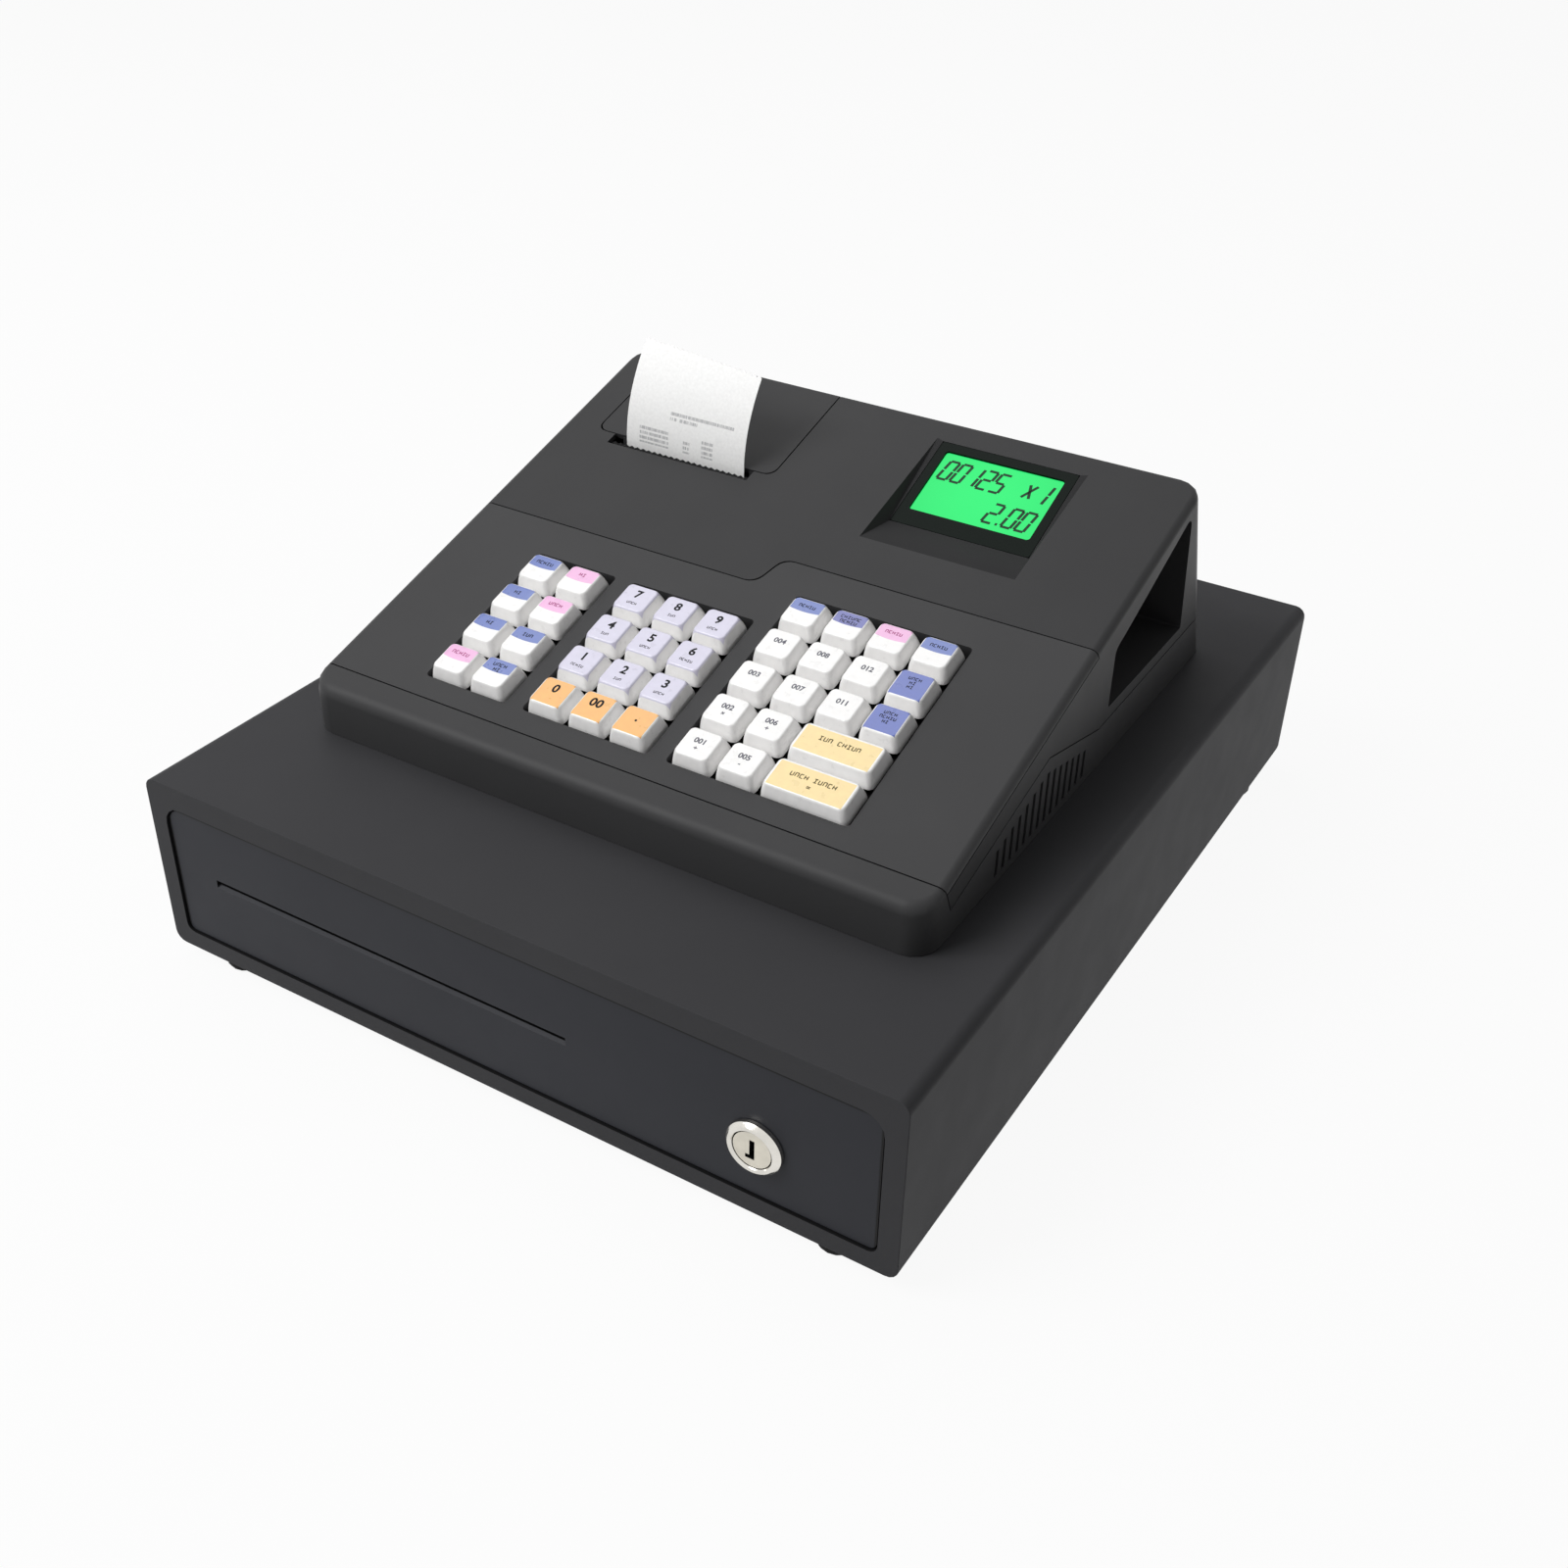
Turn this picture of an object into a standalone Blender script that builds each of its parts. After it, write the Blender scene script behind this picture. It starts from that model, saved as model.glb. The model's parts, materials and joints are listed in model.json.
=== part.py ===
"""A ticket register: a keyed till head with a ticket printer, standing on a cash drawer.

Metres, +Z up. X runs to the operator's right, Y away from the operator. The origin is the centre of
the rectangle that the whole object covers, on the surface that its feet stand on.
"""

from math import asin, atan2, cos, hypot, pi, sin, tan

import bmesh
import bpy
from mathutils import Matrix, Vector

# Fits and values that every piece shares
FIT = 0.0003
SEAM = 0.0006
WELD = 0.00001
OVERRUN = 0.010
BITE = 0.0005
ROUND_STEPS = 4
SHARP_ANGLE = 0.6
STEEP_ANGLE = 1.1

# Drawer case
CASE_WIDTH = 0.350
CASE_DEPTH = 0.405
CASE_HEIGHT = 0.083
CASE_WALL = 0.002
CASE_CORNER = 0.0050
CASE_FRONT_ROUNDING = 0.0025
CASE_FRONT_STEPS = 3
CASE_BORDER = 0.0085
CASE_BORDER_TOP = 0.0107
CASE_BORDER_DEPTH = 0.012
CASE_MOUTH_TOP_CORNER = 0.0088
CASE_MOUTH_FOOT_CORNER = 0.0040
CABLE_HOLE_RADIUS = 0.006
CABLE_HOLE_X = 0.060
CABLE_HOLE_HEIGHT = 0.022

# Feet
FOOT_HEIGHT = 0.007
FOOT_RADIUS = 0.009
FOOT_ROUNDING = 0.0025
FOOT_STEPS = 16
FOOT_FRONT_INSET = 0.0115
FOOT_FRONT_SIDE_INSET = 0.0295
FOOT_REAR_INSET = 0.034
FOOT_REAR_SIDE_INSET = 0.0115

# Runners, and the tray that slides in them
RUNNER_REACH = 0.013
RUNNER_THICKNESS = 0.003
RUNNER_HEIGHT = 0.030
RUNNER_SLOT = 0.0039
RUNNER_LENGTH = 0.380
RAIL_REACH = 0.0079
RAIL_SET_BACK = 0.014
TRAY_WALL = 0.0015
TRAY_HEIGHT = 0.044
TRAY_RISE = 0.0118
TRAY_SIDE_GAP = 0.0085
TRAY_BACK_GAP = 0.008

# Drawer front
FRONT_THICKNESS = 0.003
FRONT_RECESS = 0.001
FRONT_GAP = 0.0008
FRONT_RIM_DEPTH = 0.009
FRONT_RIM_WALL = 0.002
SLIT_LENGTH = 0.1774
SLIT_HEIGHT = 0.0026
SLIT_FROM_LEFT = 0.0312
SLIT_RISE = 0.0403
SLIT_LIP = 0.0012
SLIT_CLEARANCE = 0.001

# Drawer lock
LOCK_PROUD = 0.0025
LOCK_COLLAR_RADIUS = 0.0115
LOCK_COLLAR_CHAMFER = 0.0014
LOCK_BODY_RADIUS = 0.0092
LOCK_BORE_RADIUS = 0.0083
LOCK_LENGTH = 0.0222
LOCK_STEPS = 32
LOCK_RISE = 0.0333
LOCK_FROM_RIGHT = 0.0586
PLUG_GAP = 0.0004
PLUG_RECESS = 0.0006
KEYHOLE_WIDTH = 0.0021
KEYHOLE_LENGTH = 0.0088
KEYHOLE_DEPTH = 0.004
KEYHOLE_WARD = 0.0017
CAM_LENGTH = 0.0175
CAM_WIDTH = 0.008
CAM_THICKNESS = 0.002

# Till insert
INSERT_SET_BACK = 0.030
INSERT_HEIGHT = 0.038
INSERT_WALL = 0.0024
INSERT_FLOOR = 0.0025
INSERT_REAR_WALL = 0.0072
INSERT_SIDE_GAP = 0.0006
COIN_CUP_COUNT = 5
COIN_LENGTH = 0.088
COIN_SCOOP = 0.024
NOTE_BAY_COUNT = 4
NOTE_LENGTH = 0.172

# Note clips
CLIP_WIDTH = 0.014
CLIP_THICKNESS = 0.0018
CLIP_BARREL_RADIUS = 0.003
CLIP_PIN_RADIUS = 0.0015
CLIP_AXIS_RISE = 0.004
CLIP_LENGTH = 0.078
CLIP_CREST_SHARE = 0.35
CLIP_CREST = 0.001
CLIP_PAD_LENGTH = 0.012
CLIP_TIP = 0.004
CLIP_STEPS = 12
EAR_THICKNESS = 0.003
EAR_HALF_LENGTH = 0.0034
EAR_ROUNDING = 0.003

# Head
HEAD_WIDTH = 0.291
HEAD_DEPTH = 0.278
HEAD_SET_BACK = 0.0653
HEAD_FRONT_HEIGHT = 0.0214
HEAD_REAR_HEIGHT = 0.0935
HEAD_REAR_LEAN = 0.0347
HEAD_WALL = 0.0025
HEAD_CORNER = 0.011
HEAD_LIP = 0.0045
HEAD_EDGE = 0.0033
HEAD_EDGE_STEPS = 3

# Seams of the head
FRONT_SEAM = 0.0116
SEAM_KNEE_SET_BACK = 0.0181
SEAM_KNEE_HEIGHT = 0.0123
SEAM_PEAK_SET_BACK = 0.0983
SEAM_PEAK_HEIGHT = 0.0336
SEAM_DIP_SET_BACK = 0.1494
SEAM_DIP_HEIGHT = 0.0200
SEAM_REAR_HEIGHT = 0.0216
PANEL_LEFT_END = 0.1251
PANEL_RIGHT_END = 0.1427
PANEL_STEP_X = 0.0005
PANEL_STEP_SLANT = 0.0043
PANEL_STEP_CORNER = 0.0065
PANEL_RETURN = 0.0036

# Side grooves of the base
GROOVE_COUNT = 14
GROOVE_START = 0.0549
GROOVE_PITCH = 0.00615
GROOVE_WIDTH = 0.0026
GROOVE_DEPTH = 0.0009
GROOVE_FOOT = 0.0036
GROOVE_SEAM_GAP = 0.0065

# Hand pockets in the sides
POCKET_DEPTH = 0.024
POCKET_WALL = 0.002
POCKET_FLOOR_HEIGHT = 0.0263
POCKET_FRONT_SET_BACK = 0.1572
POCKET_FRONT_HEIGHT = 0.0532
POCKET_SHOULDER_SET_BACK = 0.171
POCKET_SHOULDER_HEIGHT = 0.0586
POCKET_REAR_TOP_SET_BACK = 0.2303
POCKET_REAR_TOP_HEIGHT = 0.0836
POCKET_REAR_FOOT_SET_BACK = 0.2383
POCKET_CORNER = 0.004
POCKET_FOOT_CORNER = 0.0012

# Display
DISPLAY_X = 0.0611
DISPLAY_POCKET_WIDTH = 0.0726
DISPLAY_RAMP_START = 0.168
DISPLAY_RAMP_LENGTH = 0.020
DISPLAY_SINK = 0.0055
DISPLAY_REAR_SINK = 0.0003
DISPLAY_REAR_SHELF = 0.001
DISPLAY_WALL = 0.0022
WINDOW_WIDTH = 0.0655
WINDOW_LENGTH = 0.0512
WINDOW_THICKNESS = 0.0025
WINDOW_CORNER = 0.001
LCD_WIDTH = 0.0573
LCD_LENGTH = 0.0375
LCD_START = 0.009
LCD_CORNER = 0.0015
LCD_RIM = 0.0024
LCD_THICKNESS = 0.0035
LCD_SINK = 0.0008

# Keys
KEY_PITCH = 0.020
KEY_BLOCK_GAP = 0.0096
KEY_BLOCKS = (2, 3, 4)
KEY_ROWS = (4, 4, 5)
KEY_FIRST_ROW = 0.03345
KEY_TOP_WIDTH = 0.015
KEY_TOP_LENGTH = 0.0145
KEY_FOOT_WIDTH = 0.0177
KEY_FOOT_LENGTH = 0.0179
KEY_PROUD = 0.005
KEY_SKIRT = 0.0025
KEY_WALL = 0.0012
KEY_ROOF = 0.0018
KEY_CORNER = 0.0026
KEY_CORNER_STEPS = 2
KEY_TOP_ROUNDING = 0.0007
KEY_STEM = 0.005
KEY_TRAVEL = 0.0035
SINGLE_COLUMN_COUNT = 2
DOUBLE_ROW_COUNT = 2

# Key wells, and the guide frame under them
WELL_SIDE = 0.0106
WELL_FRONT = 0.00965
WELL_REAR = 0.012
WELL_WALL = 0.0012
WELL_CORNER = 0.002
WELL_DEPTH = 0.0069
GUIDE_THICKNESS = 0.002
GUIDE_SIDE = 0.0146
GUIDE_END = 0.013
GUIDE_CAVITY = 0.0072
GUIDE_WALL = 0.0016
BOARD_THICKNESS = 0.0016

# Printer door and its hinge
DOOR_LEFT = 0.1271
DOOR_RIGHT = 0.0320
DOOR_START = 0.1897
DOOR_CORNER = 0.005
DOOR_LIP = 0.024
DOOR_BARREL_RADIUS = 0.0025
DOOR_BARREL_SINK = 0.0002
DOOR_PIN_RADIUS = 0.0013
DOOR_PIN_LENGTH = 0.003
DOOR_STEPS = 16
RIB_THICKNESS = 0.0018
RIB_LENGTH = 0.034
RIB_DEPTH = 0.007
LUG_WIDTH = 0.0045
LUG_SIZE = 0.0042
HINGE_CLEARANCE = 0.0005

# Ticket, slot and platen
PAPER_WIDTH = 0.064
PAPER_X = -0.0775
PAPER_THICKNESS = 0.00025
TICKET_SET_BACK = 0.1802
TICKET_RISE = 0.0435
TICKET_LEAN = 0.018
TICKET_STEPS = 10
SLOT_START = 0.1824
SLOT_WIDTH = 0.076
SLOT_X = -0.079
PLATEN_RADIUS = 0.0055
PLATEN_DEPTH = 0.0100
PLATEN_OVERHANG = 0.0006
PLATEN_SHAFT_RADIUS = 0.002
PLATEN_END_GAP = 0.001
PLATEN_STEPS = 16
PLATEN_EYE_RADIUS = 0.0042

# Paper roll, and the printer frame that holds it
ROLL_RADIUS = 0.028
ROLL_CORE_RADIUS = 0.0085
ROLL_STEPS = 32
ROLL_SET_BACK = 0.2227
ROLL_HEIGHT = 0.046
FRAME_PLATE = 0.0018
FRAME_GAP = 0.0005
FRAME_SET_BACK = 0.1712
FRAME_LENGTH = 0.0798
FRAME_NOSE_HEIGHT = 0.0672
FRAME_NOSE_LENGTH = 0.0086
FRAME_SHOULDER_HEIGHT = 0.0585
FRAME_CORNER = 0.004
CRADLE_GAP = 0.0006
CRADLE_WALL = 0.002
CRADLE_START = -2.75
CRADLE_END = -0.45
CRADLE_STEPS = 14
HEAD_BLOCK_LENGTH = 0.0086
HEAD_BLOCK_HEIGHT = 0.016
HEAD_BLOCK_GAP = 0.0005
TEAR_BAR_THICKNESS = 0.0022
TEAR_BAR_GAP = 0.0016
TEAR_BAR_SINK = 0.0008
TEAR_TOOTH_COUNT = 24
TEAR_TOOTH = 0.0008
MOTOR_RADIUS = 0.010
MOTOR_LENGTH = 0.013
MOTOR_SET_BACK = 0.190
MOTOR_HEIGHT = 0.034
MOTOR_STEPS = 16

# Main board and its rear sockets
BOARD_LEFT = -0.024
BOARD_WIDTH = 0.136
BOARD_LENGTH = 0.080
BOARD_RISE = 0.007
BOARD_OVERHANG = 0.002
BOSS_RADIUS = 0.003
BOSS_INSET = 0.006
BOSS_STEPS = 12
SOCKET_SET_BACK = 0.2678
SOCKET_LENGTH = 0.013
SOCKET_SINK = 0.008
SOCKET_WALL = 0.0012
SOCKET_HEIGHT = 0.0085
SOCKET_CLEARANCE = 0.0006
PORT_WIDTH = 0.0125
PORT_XS = (0.006, 0.032, 0.058)
POWER_X = 0.096
POWER_RADIUS = 0.0031
POWER_PIN_RADIUS = 0.0009
POWER_WIDTH = 0.0105
POWER_STEPS = 16

# Colours as linear values, and surface values
BODY_GREY = (0.052, 0.052, 0.053)
BASE_GREY = (0.043, 0.043, 0.044)
PANEL_GREY = (0.036, 0.037, 0.042)
STEEL = (0.62, 0.62, 0.63)
CHROME = (0.75, 0.74, 0.72)
INSERT_BLACK = (0.03, 0.03, 0.032)
CAP_WHITE = (0.88, 0.87, 0.86)
CAP_LAVENDER = (0.75, 0.73, 0.90)
CAP_ORANGE = (0.90, 0.58, 0.22)
CAP_YELLOW = (0.93, 0.83, 0.52)
BEZEL_BLACK = (0.012, 0.012, 0.013)
LCD_GREEN = (0.06, 0.90, 0.20)
BOARD_GREEN = (0.02, 0.16, 0.06)
RUBBER_BLACK = (0.02, 0.02, 0.021)
PAPER_WHITE = (0.86, 0.86, 0.85)
PLASTIC = (0.5, 0)
METAL = (0.3, 1)
MATT = (0.8, 0)

# Places worked out from the sizes above
CASE_FRONT = (LOCK_PROUD - CASE_DEPTH) / 2
CASE_BACK = CASE_FRONT + CASE_DEPTH
CASE_FLOOR = FOOT_HEIGHT
DECK = CASE_FLOOR + CASE_HEIGHT
MOUTH_HALF = CASE_WIDTH / 2 - CASE_BORDER
MOUTH_FLOOR = CASE_FLOOR + CASE_BORDER
MOUTH_TOP = DECK - CASE_BORDER_TOP
RUNNER_FLOOR = CASE_FLOOR + RUNNER_HEIGHT
PANEL_FACE = CASE_FRONT + FRONT_RECESS
PANEL_BACK = PANEL_FACE + FRONT_THICKNESS
TRAY_HALF = MOUTH_HALF - TRAY_SIDE_GAP
TRAY_FLOOR = CASE_FLOOR + TRAY_RISE
TRAY_FRONT = PANEL_BACK + FIT
TRAY_BACK = CASE_BACK - TRAY_BACK_GAP
LOCK_X = CASE_WIDTH / 2 - LOCK_FROM_RIGHT
LOCK_Z = CASE_FLOOR + LOCK_RISE
LOCK_FRONT = CASE_FRONT - LOCK_PROUD
INSERT_HALF = TRAY_HALF - TRAY_WALL - INSERT_SIDE_GAP
INSERT_FRONT = CASE_FRONT + INSERT_SET_BACK
INSERT_BASE = TRAY_FLOOR + TRAY_WALL + FIT
INSERT_TOP = INSERT_BASE + INSERT_HEIGHT
NOTE_FRONT = INSERT_FRONT + INSERT_WALL + COIN_LENGTH + INSERT_WALL
NOTE_BACK = NOTE_FRONT + NOTE_LENGTH
CLIP_Y = NOTE_BACK + INSERT_REAR_WALL / 2
CLIP_Z = INSERT_TOP + CLIP_AXIS_RISE
HEAD_FLOOR = DECK + FIT
HEAD_FRONT = CASE_FRONT + HEAD_SET_BACK
HEAD_BACK = HEAD_FRONT + HEAD_DEPTH
HEAD_TOP = HEAD_FLOOR + HEAD_REAR_HEIGHT
HEAD_HALF = HEAD_WIDTH / 2
SLOPE_RUN = HEAD_DEPTH - HEAD_REAR_LEAN
SLOPE_RISE = HEAD_REAR_HEIGHT - HEAD_FRONT_HEIGHT
SLOPE = atan2(SLOPE_RISE, SLOPE_RUN)
SLOPE_LENGTH = hypot(SLOPE_RISE, SLOPE_RUN)
REAR_TILT = atan2(HEAD_REAR_LEAN, HEAD_REAR_HEIGHT)
GUIDE_TOP = -WELL_DEPTH - FIT
BOARD_TOP = GUIDE_TOP - GUIDE_THICKNESS - GUIDE_CAVITY
STEM_END = BOARD_TOP + FIT + KEY_TRAVEL
PAPER_HALF = PAPER_WIDTH / 2
TICKET_Y = HEAD_FRONT + TICKET_SET_BACK
PLATEN_Y = TICKET_Y + PAPER_THICKNESS / 2 + FIT + PLATEN_RADIUS
RIB_INSIDE = PAPER_HALF + PLATEN_OVERHANG + PLATEN_END_GAP
FRAME_INSIDE = RIB_INSIDE + RIB_THICKNESS + FRAME_GAP
FRAME_FRONT = HEAD_FRONT + FRAME_SET_BACK
FRAME_BACK = FRAME_FRONT + FRAME_LENGTH
FRAME_FLOOR = HEAD_FLOOR + HEAD_WALL + FIT
FRAME_NOSE = HEAD_FLOOR + FRAME_NOSE_HEIGHT
ROLL_Y = HEAD_FRONT + ROLL_SET_BACK
ROLL_Z = HEAD_FLOOR + ROLL_HEIGHT
BOARD_FLOOR = HEAD_FLOOR + BOARD_RISE
SOCKET_FLOOR = BOARD_FLOOR + BOARD_THICKNESS
SOCKET_BACK = HEAD_FRONT + SOCKET_SET_BACK
BOARD_BACK = SOCKET_BACK - BOARD_OVERHANG

# Frames: each carries a drawing's (u, v, w) to its place in the world
FLAT = Matrix.Identity(4)
SIDE = Matrix(((0, 0, 1, 0), (1, 0, 0, 0), (0, 1, 0, 0), (0, 0, 0, 1)))
FRONT = Matrix(((1, 0, 0, 0), (0, 0, 1, 0), (0, 1, 0, 0), (0, 0, 0, 1)))
SLOPED = Matrix.Translation((0, HEAD_FRONT, HEAD_FLOOR + HEAD_FRONT_HEIGHT)) @ Matrix.Rotation(SLOPE, 4, "X")
DISPLAY_TILT = asin((DISPLAY_SINK - DISPLAY_REAR_SINK) / WINDOW_LENGTH)
DISPLAY_START = DISPLAY_RAMP_START + DISPLAY_RAMP_LENGTH
DISPLAY = (
    SLOPED
    @ Matrix.Translation((DISPLAY_X, DISPLAY_START, -DISPLAY_SINK))
    @ Matrix.Rotation(DISPLAY_TILT, 4, "X")
)

PARTS = bpy.data.collections.new("ticket_register")
CUTTERS = bpy.data.collections.new("ticket_register_cutters")


def clear_scene():
    """Remove whatever the scene holds and add the two collections."""
    for thing in list(bpy.data.objects):
        bpy.data.objects.remove(thing, do_unlink=True)
    for group in (PARTS, CUTTERS):
        bpy.context.scene.collection.children.link(group)


def place(name, mesh, group=CUTTERS):
    """Put a mesh in the scene, as a part or as a hidden cutter."""
    thing = bpy.data.objects.new(name, mesh)
    group.objects.link(thing)
    if group is CUTTERS:
        thing.hide_render = True
        thing.display_type = "WIRE"
    return thing


def place_bmesh(name, bm, group):
    """Put a bmesh in the scene with its faces turned outwards."""
    bmesh.ops.recalc_face_normals(bm, faces=bm.faces)
    if bm.calc_volume(signed=True) < 0:
        bmesh.ops.reverse_faces(bm, faces=bm.faces)
    mesh = bpy.data.meshes.new(name)
    bm.to_mesh(mesh)
    bm.free()
    return place(name, mesh, group)


def blocks(name, spans, frame=FLAT, group=CUTTERS):
    """A closed box for each pair of low and high corners."""
    bm = bmesh.new()
    for low, high in spans:
        low, high = Vector(low), Vector(high)
        shape = Matrix.Translation((low + high) / 2) @ Matrix.Diagonal((*(high - low), 1))
        bmesh.ops.create_cube(bm, size=1, matrix=shape)
    bm.transform(frame)
    return place_bmesh(name, bm, group)


def rods(name, ends, radius, steps, group=CUTTERS):
    """A capped cylinder between each pair of points."""
    bm = bmesh.new()
    for start, end in ends:
        start, end = Vector(start), Vector(end)
        turn = (end - start).to_track_quat("Z", "Y").to_matrix().to_4x4()
        shape = Matrix.Translation((start + end) / 2) @ turn
        length = (end - start).length
        bmesh.ops.create_cone(
            bm, cap_ends=True, segments=steps, radius1=radius, radius2=radius, depth=length, matrix=shape
        )
    return place_bmesh(name, bm, group)


def hull(name, points, group=CUTTERS):
    """The tightest solid round some points."""
    bm = bmesh.new()
    for point in points:
        bm.verts.new(point)
    bmesh.ops.convex_hull(bm, input=bm.verts)
    return place_bmesh(name, bm, group)


def prism(name, outline, low, high, frame, group=CUTTERS):
    """Carry a closed outline, drawn on a frame's first two axes, along the third."""
    curve = bpy.data.curves.new(name, "CURVE")
    curve.dimensions = "2D"
    curve.fill_mode = "BOTH"
    curve.extrude = (high - low) / 2
    spline = curve.splines.new("POLY")
    spline.points.add(len(outline) - 1)
    for point, (u, v) in zip(spline.points, outline):
        point.co = (u, v, 0, 1)
    spline.use_cyclic_u = True
    sketch = bpy.data.objects.new(name, curve)
    CUTTERS.objects.link(sketch)
    graph = bpy.context.evaluated_depsgraph_get()
    filled = bpy.data.meshes.new_from_object(sketch.evaluated_get(graph))
    bm = bmesh.new()
    bm.from_mesh(filled)
    bmesh.ops.remove_doubles(bm, verts=bm.verts, dist=WELD)
    bm.transform(frame @ Matrix.Translation((0, 0, (low + high) / 2)))
    bpy.data.objects.remove(sketch)
    bpy.data.meshes.remove(filled)
    return place_bmesh(name, bm, group)


def turned(name, profile, steps, closed=False, group=CUTTERS):
    """A profile of (radius, height) pairs, from the top down its outer side, spun round Z."""
    bm = bmesh.new()
    points = [bm.verts.new((radius, 0, height)) for radius, height in profile]
    for first, second in zip(points, points[1:]):
        bm.edges.new((first, second))
    if closed:
        bm.edges.new((points[-1], points[0]))
    mesh = bpy.data.meshes.new(name)
    bm.to_mesh(mesh)
    bm.free()
    thing = place(name, mesh, group)
    spin = thing.modifiers.new("spin", "SCREW")
    spin.steps = steps
    spin.render_steps = steps
    spin.use_merge_vertices = True
    spin.merge_threshold = WELD
    return thing


def tapered(name, foot, top, low, high, group=CUTTERS):
    """A box round the Z axis whose top and foot have sizes of their own."""
    bm = bmesh.new()
    bmesh.ops.create_cube(bm, size=1)
    for corner in bm.verts:
        width, length = top if corner.co.z > 0 else foot
        height = high if corner.co.z > 0 else low
        corner.co = (corner.co.x * width, corner.co.y * length, height)
    return place_bmesh(name, bm, group)


def rectangle(left, right, low, high):
    """The corners of a rectangle, anticlockwise from the lower left."""
    return [(left, low), (right, low), (right, high), (left, high)]


def rounded(outline, radii, steps=ROUND_STEPS):
    """An outline with each corner turned into an arc of its radius, or kept where that is zero."""
    points = []
    following = outline[1:] + outline[:1]
    for corner, before, after, radius in zip(outline, outline[-1:] + outline[:-1], following, radii):
        if not radius:
            points.append(tuple(corner))
            continue
        corner = Vector(corner)
        before = (Vector(before) - corner).normalized()
        after = (Vector(after) - corner).normalized()
        half = before.angle(after) / 2
        middle = corner + (before + after).normalized() * radius / sin(half)
        first = corner + before * radius / tan(half) - middle
        last = corner + after * radius / tan(half) - middle
        sweep = atan2(first.x * last.y - first.y * last.x, first.dot(last))
        for step in range(steps + 1):
            turn = sweep * step / steps
            u = first.x * cos(turn) - first.y * sin(turn)
            v = first.x * sin(turn) + first.y * cos(turn)
            points.append((middle.x + u, middle.y + v))
    return points


def grown(outline, amount):
    """An anticlockwise outline with every side moved outwards by the same amount."""
    corners = [Vector(point) for point in outline]
    moved = []
    for before, corner, after in zip(corners[-1:] + corners[:-1], corners, corners[1:] + corners[:1]):
        first = (corner - before).normalized()
        second = (after - corner).normalized()
        aside = Vector((first.y + second.y, -first.x - second.x)).normalized()
        moved.append(corner + aside * amount / aside.dot(Vector((first.y, -first.x))))
    return moved


def beside(path, amount):
    """An open path moved to its left by the same amount all along."""
    points = [Vector(point) for point in path]
    runs = [(after - before).normalized() for before, after in zip(points, points[1:])]
    moved = []
    for index, point in enumerate(points):
        before = runs[max(index - 1, 0)]
        after = runs[min(index, len(runs) - 1)]
        aside = Vector((-before.y - after.y, before.x + after.x)).normalized()
        moved.append(point + aside * amount / aside.dot(Vector((-after.y, after.x))))
    return moved


def ribbon(path, thickness):
    """The outline of a strip of even thickness along a path."""
    return beside(path, thickness / 2) + beside(path, -thickness / 2)[::-1]


def arc(centre, radius, start, end, steps):
    """Points along an arc, by angles from the first axis."""
    turns = [start + (end - start) * step / steps for step in range(steps + 1)]
    return [(centre[0] + radius * cos(turn), centre[1] + radius * sin(turn)) for turn in turns]


def cut(thing, cutter, operation="DIFFERENCE"):
    """Cut a hidden solid from a piece, or join or intersect it."""
    change = thing.modifiers.new(cutter.name, "BOOLEAN")
    change.operation = operation
    change.solver = "EXACT"
    change.object = cutter


def join(thing, cutter):
    """Fuse a hidden solid to a piece."""
    cut(thing, cutter, "UNION")


def keep(thing, cutter):
    """Keep only what lies inside a hidden solid."""
    cut(thing, cutter, "INTERSECT")


def round_edges(thing, width, segments, angle=SHARP_ANGLE):
    """Round the sharp edges of a piece."""
    bevel = thing.modifiers.new("rounding", "BEVEL")
    bevel.width = width
    bevel.segments = segments
    bevel.limit_method = "ANGLE"
    bevel.angle_limit = angle


def weigh_edges(bm, weight_of):
    """Store on each edge how much of the rounding it takes."""
    layer = bm.edges.layers.float.new("bevel_weight_edge")
    for edge in bm.edges:
        edge[layer] = weight_of(*[end.co.copy() for end in edge.verts])


def round_weighed(thing, width, segments):
    """Round the edges of a piece that carry a weight."""
    bevel = thing.modifiers.new("corners", "BEVEL")
    bevel.width = width
    bevel.segments = segments
    bevel.limit_method = "WEIGHT"


def paint(thing, colour, surface=PLASTIC):
    """Give a piece a plain material of its own."""
    material = bpy.data.materials.new(thing.name)
    material.use_nodes = True
    shader = material.node_tree.nodes["Principled BSDF"]
    shader.inputs["Base Color"].default_value = (*colour, 1)
    shader.inputs["Roughness"].default_value, shader.inputs["Metallic"].default_value = surface
    thing.data.materials.clear()
    thing.data.materials.append(material)


def anchor(name, location):
    """An empty on a joint's axis, for the moving pieces to hang from."""
    empty = bpy.data.objects.new(name, None)
    PARTS.objects.link(empty)
    empty.location = location
    return empty


def hang(thing, empty):
    """Parent a piece to an empty without moving it."""
    bpy.context.view_layer.update()
    thing.parent = empty
    thing.matrix_parent_inverse = empty.matrix_world.inverted()


def stand(thing, location, rotation):
    """Set where a piece stands and how it is turned."""
    thing.location = location
    thing.rotation_euler = rotation


def on_slope(x, along, above):
    """The world place of a point given along and above the head's sloped top."""
    return SLOPED @ Vector((x, along, above))


def seat(set_back, height):
    """A (y, z) pair from distances behind the head's front and over its floor."""
    return (HEAD_FRONT + set_back, HEAD_FLOOR + height)


def top_over(y):
    """Height of the head's sloped top over a place."""
    return HEAD_FLOOR + HEAD_FRONT_HEIGHT + (y - HEAD_FRONT) * tan(SLOPE)


# Cash drawer


def case_outline(inset):
    """The case seen from the front, or the same shape smaller all round."""
    half = CASE_WIDTH / 2 - inset
    corners = rectangle(-half, half, CASE_FLOOR + inset, DECK - inset)
    return rounded(corners, [CASE_CORNER - inset] * 4)


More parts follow.
